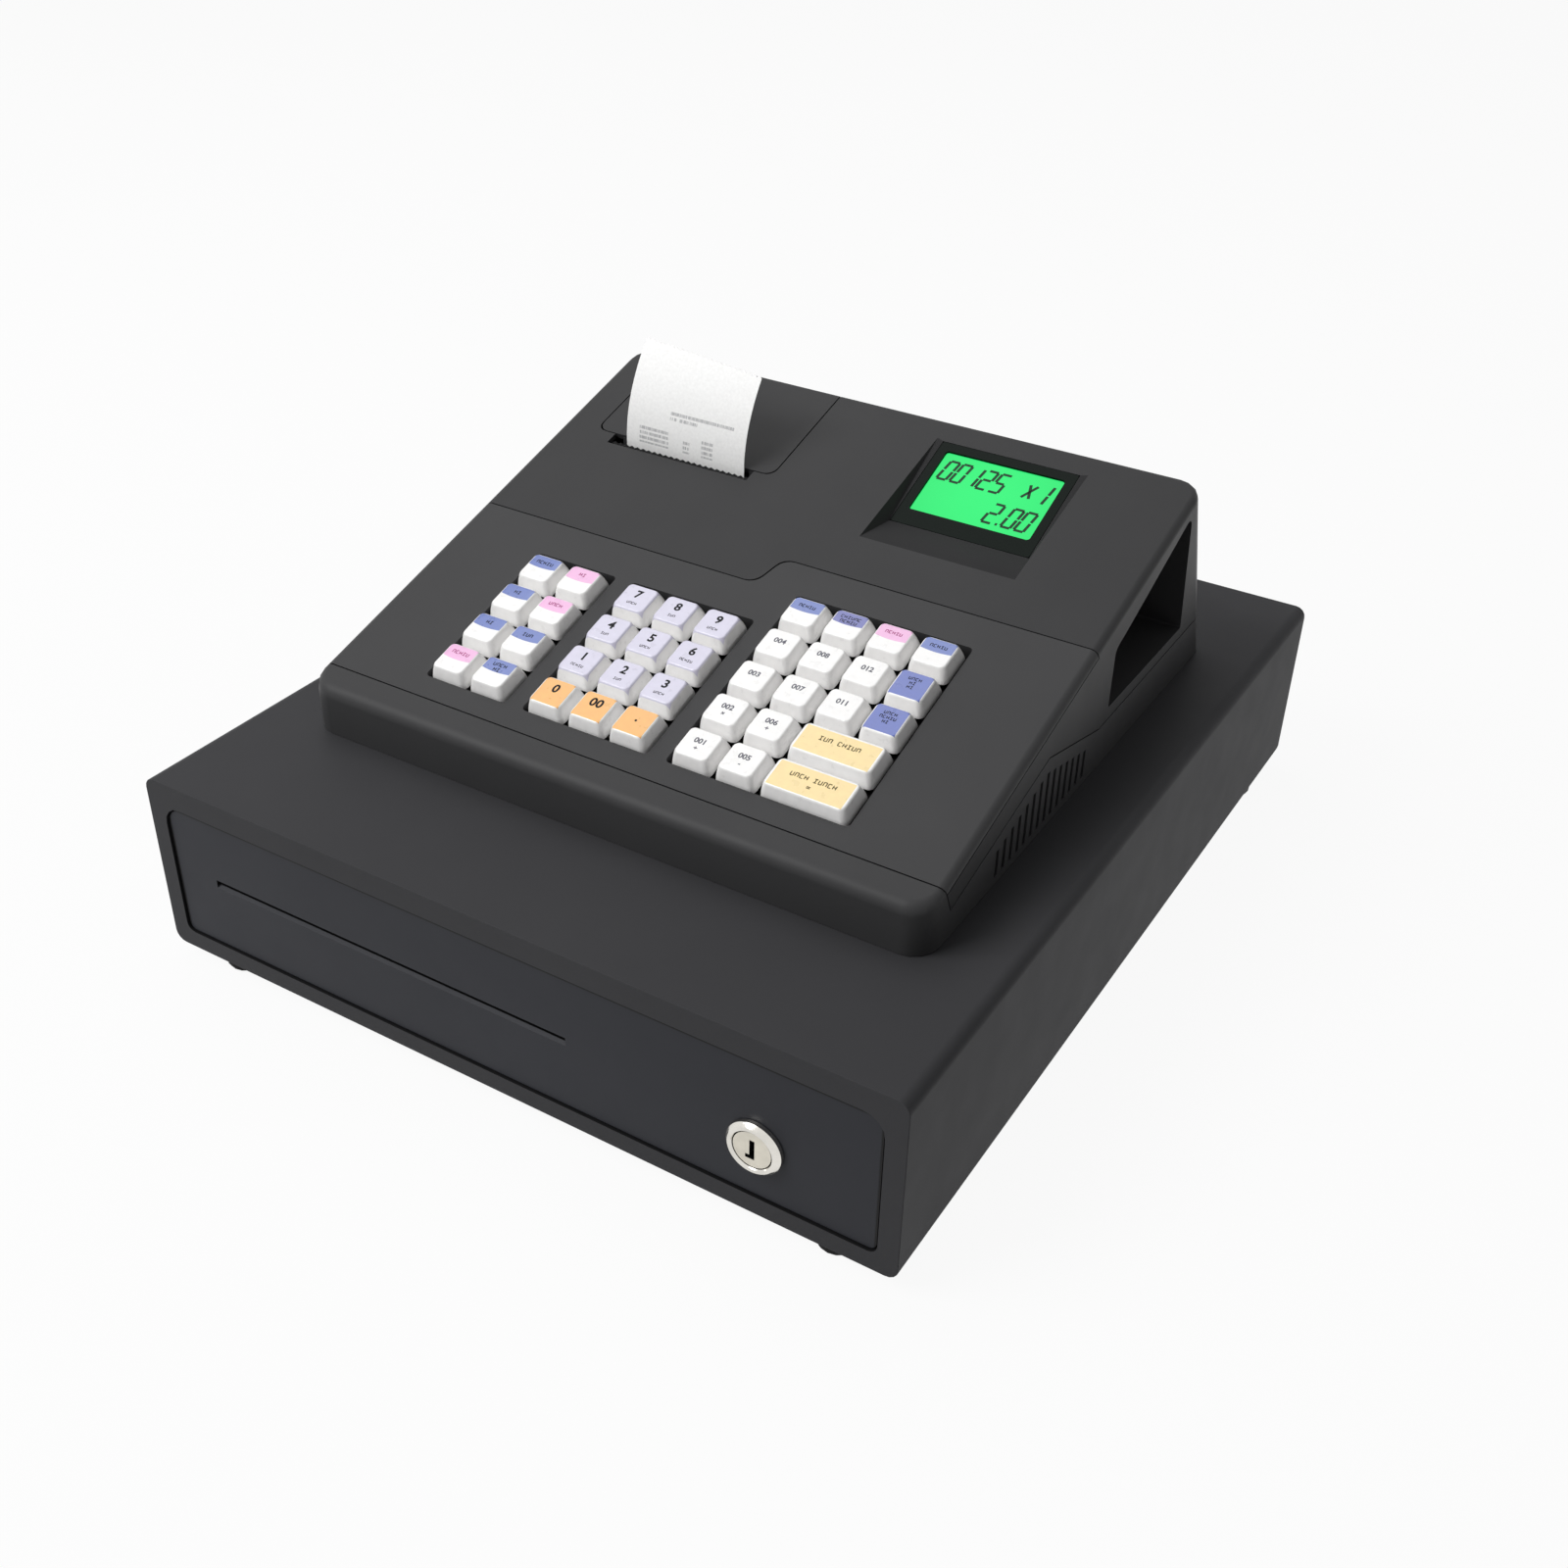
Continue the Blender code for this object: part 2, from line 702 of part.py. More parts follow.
def mouth_outline(inset):
    """The opening in the case's front, or the same shape smaller all round."""
    half = MOUTH_HALF - inset
    foot = CASE_MOUTH_FOOT_CORNER - inset
    top = CASE_MOUTH_TOP_CORNER - inset
    return rounded(rectangle(-half, half, MOUTH_FLOOR + inset, MOUTH_TOP - inset), [foot, foot, top, top])


def foot_places():
    """Where the four feet stand."""
    front, rear = CASE_FRONT + FOOT_FRONT_INSET, CASE_BACK - FOOT_REAR_INSET
    pairs = ((FOOT_FRONT_SIDE_INSET, front), (FOOT_REAR_SIDE_INSET, rear))
    return [(side * (CASE_WIDTH / 2 - inset), y) for inset, y in pairs for side in (-1, 1)]


def drawer_foot(name, place_xy):
    """A domed rubber foot, its top sunk in the case's floor."""
    profile = [
        (0, CASE_FLOOR + BITE),
        (FOOT_RADIUS, CASE_FLOOR + BITE),
        (FOOT_RADIUS, FOOT_ROUNDING),
        (FOOT_RADIUS - FOOT_ROUNDING / 3, FOOT_ROUNDING / 3),
        (FOOT_RADIUS - FOOT_ROUNDING, 0),
        (0, 0),
    ]
    foot = turned(name, profile, FOOT_STEPS)
    stand(foot, (*place_xy, 0), (0, 0, 0))
    return foot


def drawer_runners():
    """The two channels down the inside of the case that carry the tray's rails."""
    wall = CASE_WIDTH / 2 - CASE_WALL
    start = CASE_FRONT + CASE_BORDER_DEPTH - BITE
    spans = []
    for low in (RUNNER_FLOOR, RUNNER_FLOOR + RUNNER_THICKNESS + RUNNER_SLOT):
        for side in (-1, 1):
            ends = sorted((side * (wall - RUNNER_REACH), side * (wall + BITE)))
            spans.append(((ends[0], start, low), (ends[1], start + RUNNER_LENGTH, low + RUNNER_THICKNESS)))
    return blocks("case_runners", spans)


def build_case():
    """The sheet-metal case with its framed mouth, runners, cable hole and feet."""
    case = prism("drawer_case", case_outline(0), CASE_FRONT, CASE_BACK, FRONT, PARTS)
    round_edges(case, CASE_FRONT_ROUNDING, CASE_FRONT_STEPS)
    inside = case_outline(CASE_WALL)
    cut(case, prism("case_inside", inside, CASE_FRONT + CASE_BORDER_DEPTH, CASE_BACK - CASE_WALL, FRONT))
    behind_border = CASE_FRONT + CASE_BORDER_DEPTH + BITE
    cut(case, prism("case_mouth", mouth_outline(0), CASE_FRONT - OVERRUN, behind_border, FRONT))
    join(case, drawer_runners())
    hole_z = CASE_FLOOR + CABLE_HOLE_HEIGHT
    ends = ((CABLE_HOLE_X, CASE_BACK - OVERRUN, hole_z), (CABLE_HOLE_X, CASE_BACK + OVERRUN, hole_z))
    cut(case, rods("case_cable_hole", [ends], CABLE_HOLE_RADIUS, FOOT_STEPS))
    for index, place_xy in enumerate(foot_places()):
        join(case, drawer_foot(f"case_foot_{index + 1}", place_xy))
    paint(case, PANEL_GREY)


def slit_outline():
    """The media slit in the drawer front from the side, with its chamfered lower lip."""
    low = CASE_FLOOR + SLIT_RISE
    high = low + SLIT_HEIGHT
    back = PANEL_BACK + OVERRUN
    return [
        (PANEL_FACE - BITE, low - SLIT_LIP - BITE),
        (PANEL_FACE + SLIT_LIP, low),
        (back, low),
        (back, high),
        (PANEL_FACE - BITE, high),
    ]


def slit_ends():
    """Where the media slit starts and ends."""
    left = SLIT_FROM_LEFT - CASE_WIDTH / 2
    return left, left + SLIT_LENGTH


def build_drawer_front(slide):
    """The drawer's front panel: a rimmed plate with the media slit and the lock's hole."""
    panel = prism(
        "drawer_front", mouth_outline(FRONT_GAP), PANEL_FACE, PANEL_FACE + FRONT_RIM_DEPTH, FRONT, PARTS
    )
    hollow = mouth_outline(FRONT_GAP + FRONT_RIM_WALL)
    cut(panel, prism("front_hollow", hollow, PANEL_BACK, PANEL_BACK + OVERRUN, FRONT))
    cut(panel, prism("front_slit", slit_outline(), *slit_ends(), SIDE))
    ends = ((LOCK_X, PANEL_FACE - OVERRUN, LOCK_Z), (LOCK_X, PANEL_BACK + OVERRUN, LOCK_Z))
    cut(panel, rods("front_lock_hole", [ends], LOCK_BODY_RADIUS + FIT, LOCK_STEPS))
    paint(panel, PANEL_GREY)
    hang(panel, slide)


def tray_rails():
    """The rails on the tray's sides that run in the case's channels."""
    low = RUNNER_FLOOR + RUNNER_THICKNESS + FIT
    high = low + RUNNER_SLOT - FIT - FIT
    spans = []
    for side in (-1, 1):
        ends = sorted((side * (TRAY_HALF - BITE), side * (TRAY_HALF + RAIL_REACH)))
        spans.append(((ends[0], CASE_FRONT + RAIL_SET_BACK, low), (ends[1], TRAY_BACK, high)))
    return blocks("tray_rails", spans)


def build_tray(slide):
    """The steel tray of the drawer."""
    low, high = (-TRAY_HALF, TRAY_FRONT, TRAY_FLOOR), (TRAY_HALF, TRAY_BACK, TRAY_FLOOR + TRAY_HEIGHT)
    tray = blocks("drawer_tray", [(low, high)], group=PARTS)
    wall = Vector((TRAY_WALL, TRAY_WALL, TRAY_WALL))
    top = Vector(high) + Vector((-TRAY_WALL, -TRAY_WALL, OVERRUN))
    cut(tray, blocks("tray_inside", [(Vector(low) + wall, top)]))
    join(tray, tray_rails())
    left, right = slit_ends()
    slit_low = CASE_FLOOR + SLIT_RISE - SLIT_CLEARANCE
    slit_high = slit_low + SLIT_HEIGHT + SLIT_CLEARANCE + SLIT_CLEARANCE
    start, end = TRAY_FRONT - BITE, TRAY_FRONT + OVERRUN
    slit = ((left - SLIT_CLEARANCE, start, slit_low), (right + SLIT_CLEARANCE, end, slit_high))
    cut(tray, blocks("tray_slit", [slit]))
    ends = ((LOCK_X, start, LOCK_Z), (LOCK_X, end, LOCK_Z))
    cut(tray, rods("tray_lock_hole", [ends], LOCK_BODY_RADIUS + FIT, LOCK_STEPS))
    paint(tray, STEEL, METAL)
    hang(tray, slide)


def keyhole_outline():
    """The keyhole from the front: an upright slot with a side ward at its foot."""
    half, end = KEYHOLE_WIDTH / 2, KEYHOLE_LENGTH / 2
    return [
        (-half - KEYHOLE_WARD, -end),
        (half, -end),
        (half, end),
        (-half, end),
        (-half, KEYHOLE_WARD - end),
        (-half - KEYHOLE_WARD, KEYHOLE_WARD - end),
    ]


def build_lock(slide):
    """The lock: a barrel with its collar, and the plug that turns in it with its cam."""
    collar = FRONT_RECESS + LOCK_PROUD - FIT
    profile = [
        (LOCK_BORE_RADIUS, 0),
        (LOCK_COLLAR_RADIUS - LOCK_COLLAR_CHAMFER, 0),
        (LOCK_COLLAR_RADIUS, -LOCK_COLLAR_CHAMFER),
        (LOCK_COLLAR_RADIUS, -collar),
        (LOCK_BODY_RADIUS, -collar),
        (LOCK_BODY_RADIUS, -LOCK_LENGTH),
        (LOCK_BORE_RADIUS, -LOCK_LENGTH),
    ]
    barrel = turned("lock_barrel", profile, LOCK_STEPS, closed=True, group=PARTS)
    radius = LOCK_BORE_RADIUS - PLUG_GAP
    cam_face = -LOCK_LENGTH - FIT
    end = cam_face - CAM_THICKNESS / 2
    profile = [(0, -PLUG_RECESS), (radius, -PLUG_RECESS), (radius, end), (0, end)]
    plug = turned("lock_plug", profile, LOCK_STEPS, group=PARTS)
    half = CAM_WIDTH / 2
    cam = blocks("lock_cam", [((-half, -half, cam_face - CAM_THICKNESS), (half, CAM_LENGTH, cam_face))])
    keyhole = prism("lock_keyhole", keyhole_outline(), -PLUG_RECESS - KEYHOLE_DEPTH, OVERRUN, FLAT)
    for thing in (barrel, plug, cam, keyhole):
        stand(thing, (LOCK_X, LOCK_FRONT, LOCK_Z), (pi / 2, 0, 0))
    join(plug, cam)
    cut(plug, keyhole)
    for thing in (barrel, plug):
        paint(thing, CHROME, METAL)
        hang(thing, slide)


def divided(count):
    """The low and high ends of equal compartments across the till insert."""
    width = (INSERT_HALF + INSERT_HALF - (count + 1) * INSERT_WALL) / count
    starts = [INSERT_WALL - INSERT_HALF + index * (width + INSERT_WALL) for index in range(count)]
    return [(start, start + width) for start in starts]


def clip_places():
    """Where the note clips are hinged across the insert."""
    return [(left + right) / 2 for left, right in divided(NOTE_BAY_COUNT)]


def coin_outline():
    """A coin cup from the side, scooped at both ends."""
    front = INSERT_FRONT + INSERT_WALL
    corners = rectangle(front, front + COIN_LENGTH, INSERT_BASE + INSERT_FLOOR, INSERT_TOP + OVERRUN)
    return rounded(corners, [COIN_SCOOP, COIN_SCOOP, 0, 0])


def ear_outline():
    """A hinge ear of a note clip from the side."""
    front, back = CLIP_Y - EAR_HALF_LENGTH, CLIP_Y + EAR_HALF_LENGTH
    corners = rectangle(front, back, INSERT_TOP - BITE, CLIP_Z + EAR_HALF_LENGTH)
    return rounded(corners, [0, 0, EAR_ROUNDING, EAR_ROUNDING])


def ear_sides(x):
    """The faces of the two ears that hold a clip."""
    inner = CLIP_WIDTH / 2 + FIT
    outer = inner + EAR_THICKNESS
    return ((x - outer, x - inner), (x + inner, x + outer))


def build_insert(slide):
    """The plastic till insert with scooped coin cups, note bays and hinge ears for the clips."""
    low = (-INSERT_HALF, INSERT_FRONT, INSERT_BASE)
    high = (INSERT_HALF, NOTE_BACK + INSERT_REAR_WALL, INSERT_TOP)
    insert = blocks("till_insert", [(low, high)], group=PARTS)
    for index, (left, right) in enumerate(divided(COIN_CUP_COUNT)):
        cut(insert, prism(f"coin_cup_{index + 1}", coin_outline(), left, right, SIDE))
    bays = []
    for left, right in divided(NOTE_BAY_COUNT):
        bays.append(((left, NOTE_FRONT, INSERT_BASE + INSERT_FLOOR), (right, NOTE_BACK, INSERT_TOP + OVERRUN)))
    cut(insert, blocks("note_bays", bays))
    bores = []
    for index, x in enumerate(clip_places()):
        for side, (left, right) in zip(("left", "right"), ear_sides(x)):
            join(insert, prism(f"clip_ear_{index + 1}_{side}", ear_outline(), left, right, SIDE))
            bores.append(((left - BITE, CLIP_Y, CLIP_Z), (right + BITE, CLIP_Y, CLIP_Z)))
    cut(insert, rods("clip_bores", bores, CLIP_PIN_RADIUS + FIT, CLIP_STEPS))
    paint(insert, INSERT_BLACK)
    hang(insert, slide)


def clip_path():
    """The line of a note clip from the side, from its hinge to its turned-up tip."""
    drop = CLIP_AXIS_RISE + INSERT_HEIGHT - INSERT_FLOOR - FIT - CLIP_THICKNESS / 2
    return [
        (0, 0),
        (-CLIP_LENGTH * CLIP_CREST_SHARE, CLIP_CREST),
        (CLIP_PAD_LENGTH - CLIP_LENGTH, -drop),
        (-CLIP_LENGTH, -drop),
        (-CLIP_LENGTH - CLIP_TIP, CLIP_TIP - drop),
    ]


def build_clip(index, x, slide):
    """A note clip: a bent arm on a barrel with pins at its ends."""
    half = CLIP_WIDTH / 2
    clip = rods(f"bill_clip_{index}", [((-half, 0, 0), (half, 0, 0))], CLIP_BARREL_RADIUS, CLIP_STEPS, PARTS)
    reach = half + EAR_THICKNESS
    pins = rods(f"clip_pins_{index}", [((-reach, 0, 0), (reach, 0, 0))], CLIP_PIN_RADIUS, CLIP_STEPS)
    arm = prism(f"clip_arm_{index}", ribbon(clip_path(), CLIP_THICKNESS), BITE - half, half - BITE, SIDE)
    for thing in (clip, pins, arm):
        stand(thing, (x, CLIP_Y, CLIP_Z), (0, 0, 0))
    join(clip, pins)
    join(clip, arm)
    paint(clip, STEEL, METAL)
    hang(clip, slide)


def build_drawer():
    """The case, and the drawer that slides out of it towards the operator."""
    build_case()
    slide = anchor("drawer_slide", (0, CASE_FRONT, RUNNER_FLOOR))
    build_drawer_front(slide)
    build_tray(slide)
    build_lock(slide)
    build_insert(slide)
    for index, x in enumerate(clip_places()):
        build_clip(index + 1, x, slide)


# Head housing


def head_profile():
    """The head's outline from the side: front foot, rear foot, rear top and front top."""
    rear_top = seat(HEAD_DEPTH - HEAD_REAR_LEAN, HEAD_REAR_HEIGHT)
    return [seat(0, 0), seat(HEAD_DEPTH, 0), rear_top, seat(0, HEAD_FRONT_HEIGHT)]


def head_block(name, inset, group=CUTTERS):
    """The head's whole outer shape, its uprights and top edges rounded, or the same shape smaller."""
    front_foot, rear_foot, rear_top, front_top = grown(head_profile(), -inset)
    half, corner = HEAD_HALF - inset, HEAD_CORNER - inset
    lip, edge = HEAD_LIP - inset, HEAD_EDGE - inset
    foot = rounded(rectangle(-half, half, front_foot.x, rear_foot.x), [corner] * 4)
    points = [(x, y, front_foot.y) for x, y in foot]
    length = (rear_top - front_top).length
    rise = (rear_top - front_top) / length
    for step in range(HEAD_EDGE_STEPS + 1):
        turn = pi / 2 * step / HEAD_EDGE_STEPS
        out, down = 1 - cos(turn), 1 - sin(turn)
        sides = rectangle(out * edge - half, half - out * edge, out * lip, length - out * edge)
        for x, along in rounded(sides, [corner - out * edge] * 4):
            rounding = lip + (edge - lip) * min(along / corner, 1)
            middle = front_top + rise * along
            points.append((x, middle.x, middle.y - down * rounding))
    return hull(name, points, group)


def seam_path():
    """The seam round the base from the side: down from the top behind the lip, then to the rear."""
    start = on_slope(0, FRONT_SEAM, OVERRUN)
    return [
        (start.y, start.z),
        seat(SEAM_KNEE_SET_BACK, SEAM_KNEE_HEIGHT),
        seat(SEAM_PEAK_SET_BACK, SEAM_PEAK_HEIGHT),
        seat(SEAM_DIP_SET_BACK, SEAM_DIP_HEIGHT),
        seat(HEAD_DEPTH + OVERRUN, SEAM_REAR_HEIGHT),
    ]


def base_zone():
    """What lies below and before the seam."""
    path = beside(seam_path(), -SEAM / 2)
    corners = [
        (HEAD_BACK + OVERRUN, HEAD_FLOOR - OVERRUN),
        (HEAD_FRONT - OVERRUN, HEAD_FLOOR - OVERRUN),
        (HEAD_FRONT - OVERRUN, path[0].y),
    ]
    return prism("base_zone", path + corners, -HEAD_HALF - OVERRUN, HEAD_HALF + OVERRUN, SIDE)


def cover_zone(name):
    """What lies above and behind the seam."""
    path = beside(seam_path(), SEAM / 2)
    corners = [(HEAD_BACK + OVERRUN, HEAD_TOP + OVERRUN), (path[0].x, HEAD_TOP + OVERRUN)]
    return prism(name, path + corners, -HEAD_HALF - OVERRUN, HEAD_HALF + OVERRUN, SIDE)


def panel_zone(name, grow):
    """The keyboard cover's share of the sloped top, its rear edge stepped, or larger by an amount."""
    side = HEAD_HALF + OVERRUN
    left = PANEL_STEP_X - PANEL_STEP_SLANT / 2 - grow
    right = PANEL_STEP_X + PANEL_STEP_SLANT / 2 - grow
    left_end, right_end = PANEL_LEFT_END + grow, PANEL_RIGHT_END + grow
    corners = [
        (-side, -OVERRUN),
        (side, -OVERRUN),
        (side, right_end),
        (right, right_end),
        (left, left_end),
        (-side, left_end),
    ]
    outline = rounded(corners, [0, 0, 0, PANEL_STEP_CORNER, PANEL_STEP_CORNER, 0])
    return prism(name, outline, -PANEL_RETURN - grow, OVERRUN, SLOPED)


def door_zone(name, grow):
    """The printer door's share of the top and rear, or larger by an amount."""
    far_end = SLOPE_LENGTH + HEAD_REAR_LEAN
    corners = rectangle(-DOOR_LEFT - grow, grow - DOOR_RIGHT, DOOR_START - grow, far_end)
    outline = rounded(corners, [DOOR_CORNER, DOOR_CORNER, 0, 0])
    return prism(name, outline, -DOOR_LIP - grow, OVERRUN, SLOPED)


def key_columns():
    """Centres of the columns of each block of keys, the whole set centred on the head."""
    span = (sum(KEY_BLOCKS) - 1) * KEY_PITCH + (len(KEY_BLOCKS) - 1) * KEY_BLOCK_GAP
    x = -span / 2
    places = []
    for count in KEY_BLOCKS:
        places.append([x + index * KEY_PITCH for index in range(count)])
        x += count * KEY_PITCH + KEY_BLOCK_GAP
    return places


def key_rows(count):
    """Distances up the slope of a block's rows, the nearest first."""
    return [KEY_FIRST_ROW + index * KEY_PITCH for index in range(count)]


def well_outline(columns, rows, grow):
    """The well round a block of keys, or larger by an amount."""
    left, right = columns[0] - WELL_SIDE - grow, columns[-1] + WELL_SIDE + grow
    front, back = rows[0] - WELL_FRONT - grow, rows[-1] + WELL_REAR + grow
    return rounded(rectangle(left, right, front, back), [WELL_CORNER + grow] * 4)


def seam_height(y):
    """Height of the side seam over a place behind its knee."""
    path = seam_path()[1:]
    for (start_y, start_z), (end_y, end_z) in zip(path, path[1:]):
        if y <= end_y:
            break
    return start_z + (end_z - start_z) * (y - start_y) / (end_y - start_y)


def side_grooves():
    """The row of upright grooves in both side walls, each as tall as the seam above it allows."""
    spans = []
    for index in range(GROOVE_COUNT):
        y = HEAD_FRONT + GROOVE_START + index * GROOVE_PITCH
        top = min(seam_height(y), seam_height(y + GROOVE_WIDTH)) - GROOVE_SEAM_GAP
        for side in (-1, 1):
            ends = sorted((side * (HEAD_HALF - GROOVE_DEPTH), side * (HEAD_HALF + OVERRUN)))
            spans.append(((ends[0], y, HEAD_FLOOR + GROOVE_FOOT), (ends[1], y + GROOVE_WIDTH, top)))
    return blocks("side_grooves", spans)


def board_bosses():
    """The four bosses on the base's floor that carry the main board."""
    low, high = HEAD_FLOOR + HEAD_WALL - BITE, BOARD_FLOOR - FIT
    ends = []
    for x in (BOARD_LEFT + BOSS_INSET, BOARD_LEFT + BOARD_WIDTH - BOSS_INSET):
        for y in (BOARD_BACK - BOSS_INSET, BOARD_BACK - BOARD_LENGTH + BOSS_INSET):
            ends.append(((x, y, low), (x, y, high)))
    return rods("board_bosses", ends, BOSS_RADIUS, BOSS_STEPS)


def port_openings():
    """The openings in the base's rear wall for the data ports."""
    half = PORT_WIDTH / 2 + SOCKET_CLEARANCE
    low, high = SOCKET_FLOOR - SOCKET_CLEARANCE, SOCKET_FLOOR + SOCKET_HEIGHT + SOCKET_CLEARANCE
    start, end = SOCKET_BACK - BITE, HEAD_BACK + OVERRUN
    return blocks("port_openings", [((x - half, start, low), (x + half, end, high)) for x in PORT_XS])


def build_base(inside):
    """The lower housing: front lip, grooved sides, board bosses and socket openings."""
    base = head_block("register_base", 0, PARTS)
    cut(base, inside)
    keep(base, base_zone())
    cut(base, side_grooves())
    join(base, board_bosses())
    cut(base, port_openings())
    z = SOCKET_FLOOR + SOCKET_HEIGHT / 2
    ends = ((POWER_X, SOCKET_BACK - BITE, z), (POWER_X, HEAD_BACK + OVERRUN, z))
    cut(base, rods("power_opening", [ends], SOCKET_HEIGHT / 2 + SOCKET_CLEARANCE, POWER_STEPS))
    paint(base, BASE_GREY)


def build_keyboard_cover(inside):
    """The sloped panel with the three collared wells that the keys stand in."""
    cover = head_block("keyboard_cover", 0, PARTS)
    cut(cover, inside)
    keep(cover, cover_zone("keyboard_cover_zone"))
    keep(cover, panel_zone("keyboard_panel_zone", 0))
    for index, (columns, count) in enumerate(zip(key_columns(), KEY_ROWS)):
        rows = key_rows(count)
        outside, opening = well_outline(columns, rows, WELL_WALL), well_outline(columns, rows, 0)
        join(cover, prism(f"well_collar_{index + 1}", outside, -WELL_DEPTH, -HEAD_WALL / 2, SLOPED))
        cut(cover, prism(f"well_{index + 1}", opening, -WELL_DEPTH - OVERRUN, OVERRUN, SLOPED))
    paint(cover, BODY_GREY)


def display_hull(name, grow, sink, top):
    """The display's pocket with its drafted sides, or the lump of wall round and under it."""
    half = DISPLAY_POCKET_WIDTH / 2 + grow
    end = DISPLAY_START + WINDOW_LENGTH + DISPLAY_REAR_SHELF + grow
    points = []
    for along in (DISPLAY_RAMP_START - grow, end):
        for x in (DISPLAY_X - half, DISPLAY_X + half):
            points.append(on_slope(x, along, top))
            if top > 0:
                points.append(on_slope(x, along, 0))
    reach = WINDOW_WIDTH / 2 + FIT + grow
    for along in (-FIT - grow, WINDOW_LENGTH + FIT + grow):
        for x in (-reach, reach):
            points.append(DISPLAY @ Vector((x, along, -sink)))
    return hull(name, points)


def build_display(cover):
    """Sink the display's pocket into the upper cover."""
    floor = WINDOW_THICKNESS + FIT + DISPLAY_WALL
    join(cover, display_hull("display_wall", DISPLAY_WALL, floor, -HEAD_WALL / 2))
    cut(cover, display_hull("display_pocket", 0, 0, OVERRUN))
    half = WINDOW_WIDTH / 2 + FIT
    window_seat = ((-half, -FIT, -WINDOW_THICKNESS - FIT), (half, WINDOW_LENGTH + FIT, BITE))
    cut(cover, blocks("window_seat", [window_seat], DISPLAY))
    reach = LCD_WIDTH / 2 + LCD_RIM + FIT
    low, high = LCD_START - LCD_RIM - FIT, LCD_START + LCD_LENGTH + LCD_RIM + FIT
    cut(cover, blocks("lcd_opening", [((-reach, low, -OVERRUN), (reach, high, 0))], DISPLAY))


def build_window_and_lcd():
    """The black window that frames the display, and the lit panel in it."""
    half = WINDOW_WIDTH / 2
    outline = rounded(rectangle(-half, half, 0, WINDOW_LENGTH), [WINDOW_CORNER] * 4)
    window = prism("display_window", outline, -WINDOW_THICKNESS, 0, DISPLAY, PARTS)
    reach, low, high = LCD_WIDTH / 2, LCD_START, LCD_START + LCD_LENGTH
    opening = rounded(rectangle(-reach, reach, low, high), [LCD_CORNER] * 4)
    cut(window, prism("window_opening", opening, -OVERRUN, OVERRUN, DISPLAY))
    paint(window, BEZEL_BLACK)
    back = -WINDOW_THICKNESS - FIT
    body = ((-reach - LCD_RIM, low - LCD_RIM, back - LCD_THICKNESS), (reach + LCD_RIM, high + LCD_RIM, back))
    panel = blocks("lcd_panel", [body], DISPLAY, PARTS)
    face = rounded(rectangle(FIT - reach, reach - FIT, low + FIT, high - FIT), [LCD_CORNER - FIT] * 4)
    join(panel, prism("lcd_face", face, back - BITE, -LCD_SINK, DISPLAY))
    paint(panel, LCD_GREEN)


def pocket_outline(grow):
    """A hand pocket from the side, or the lump of wall round it."""
    corners = [
        seat(POCKET_FRONT_SET_BACK, POCKET_FLOOR_HEIGHT),
        seat(POCKET_REAR_FOOT_SET_BACK, POCKET_FLOOR_HEIGHT),
        seat(POCKET_REAR_TOP_SET_BACK, POCKET_REAR_TOP_HEIGHT),
        seat(POCKET_SHOULDER_SET_BACK, POCKET_SHOULDER_HEIGHT),
        seat(POCKET_FRONT_SET_BACK, POCKET_FRONT_HEIGHT),
    ]
    foot, corner = POCKET_FOOT_CORNER + grow, POCKET_CORNER + grow
    return rounded([tuple(point) for point in grown(corners, grow)], [foot, foot, corner, corner, corner])


def build_hand_pockets(cover):
    """Sink a hand pocket into each side of the upper cover."""
    floor = HEAD_HALF - POCKET_DEPTH
    for name, side in (("left", -1), ("right", 1)):
        wall = sorted((side * (floor - POCKET_WALL), side * (HEAD_HALF - HEAD_WALL / 2)))
        join(cover, prism(f"hand_wall_{name}", pocket_outline(POCKET_WALL), *wall, SIDE))
        hollow = sorted((side * floor, side * (HEAD_HALF + OVERRUN)))
        cut(cover, prism(f"hand_pocket_{name}", pocket_outline(0), *hollow, SIDE))


def hinge_frame():
    """The door hinge's frame: u out through the rear wall, v up along it, w to the right."""
    foot = Vector(seat(HEAD_DEPTH, 0))
    out = Vector((cos(REAR_TILT), sin(REAR_TILT)))
    up = Vector((-out.y, out.x))
    rise = hypot(HEAD_REAR_LEAN, HEAD_REAR_HEIGHT) - DOOR_LIP / cos(REAR_TILT - SLOPE)
    axis = foot + up * rise - out * (DOOR_BARREL_RADIUS + DOOR_BARREL_SINK)
    return Matrix(((0, 0, 1, 0), (out.x, up.x, 0, axis.x), (out.y, up.y, 0, axis.y), (0, 0, 0, 1)))


HINGE = hinge_frame()


def build_hinge_seat(cover):
    """The lugs that take the door's hinge pins, and the relief that lets the door swing right over."""
    left, right = -DOOR_LEFT - SEAM, SEAM - DOOR_RIGHT
    skin = DOOR_BARREL_RADIUS + DOOR_BARREL_SINK - BITE
    lugs, bores = [], []
    for inner, side in ((left, -1), (right, 1)):
        ends = sorted((inner, inner + side * LUG_WIDTH))
        lugs.append(((-LUG_SIZE, -LUG_SIZE, ends[0]), (skin, LUG_SIZE, ends[1])))
        bores.append((HINGE @ Vector((0, 0, inner - side * BITE)), HINGE @ Vector((0, 0, inner + side * DOOR_PIN_LENGTH))))
    join(cover, blocks("hinge_lugs", lugs, HINGE))
    cut(cover, rods("hinge_bores", bores, DOOR_PIN_RADIUS + FIT, DOOR_STEPS))
    relief = DOOR_BARREL_RADIUS + HINGE_CLEARANCE
    ends = (HINGE @ Vector((0, 0, left)), HINGE @ Vector((0, 0, right)))
    cut(cover, rods("hinge_round_relief", [ends], relief, DOOR_STEPS))
    cut(cover, blocks("hinge_flat_relief", [((0, -relief, left), (OVERRUN, relief, right))], HINGE))


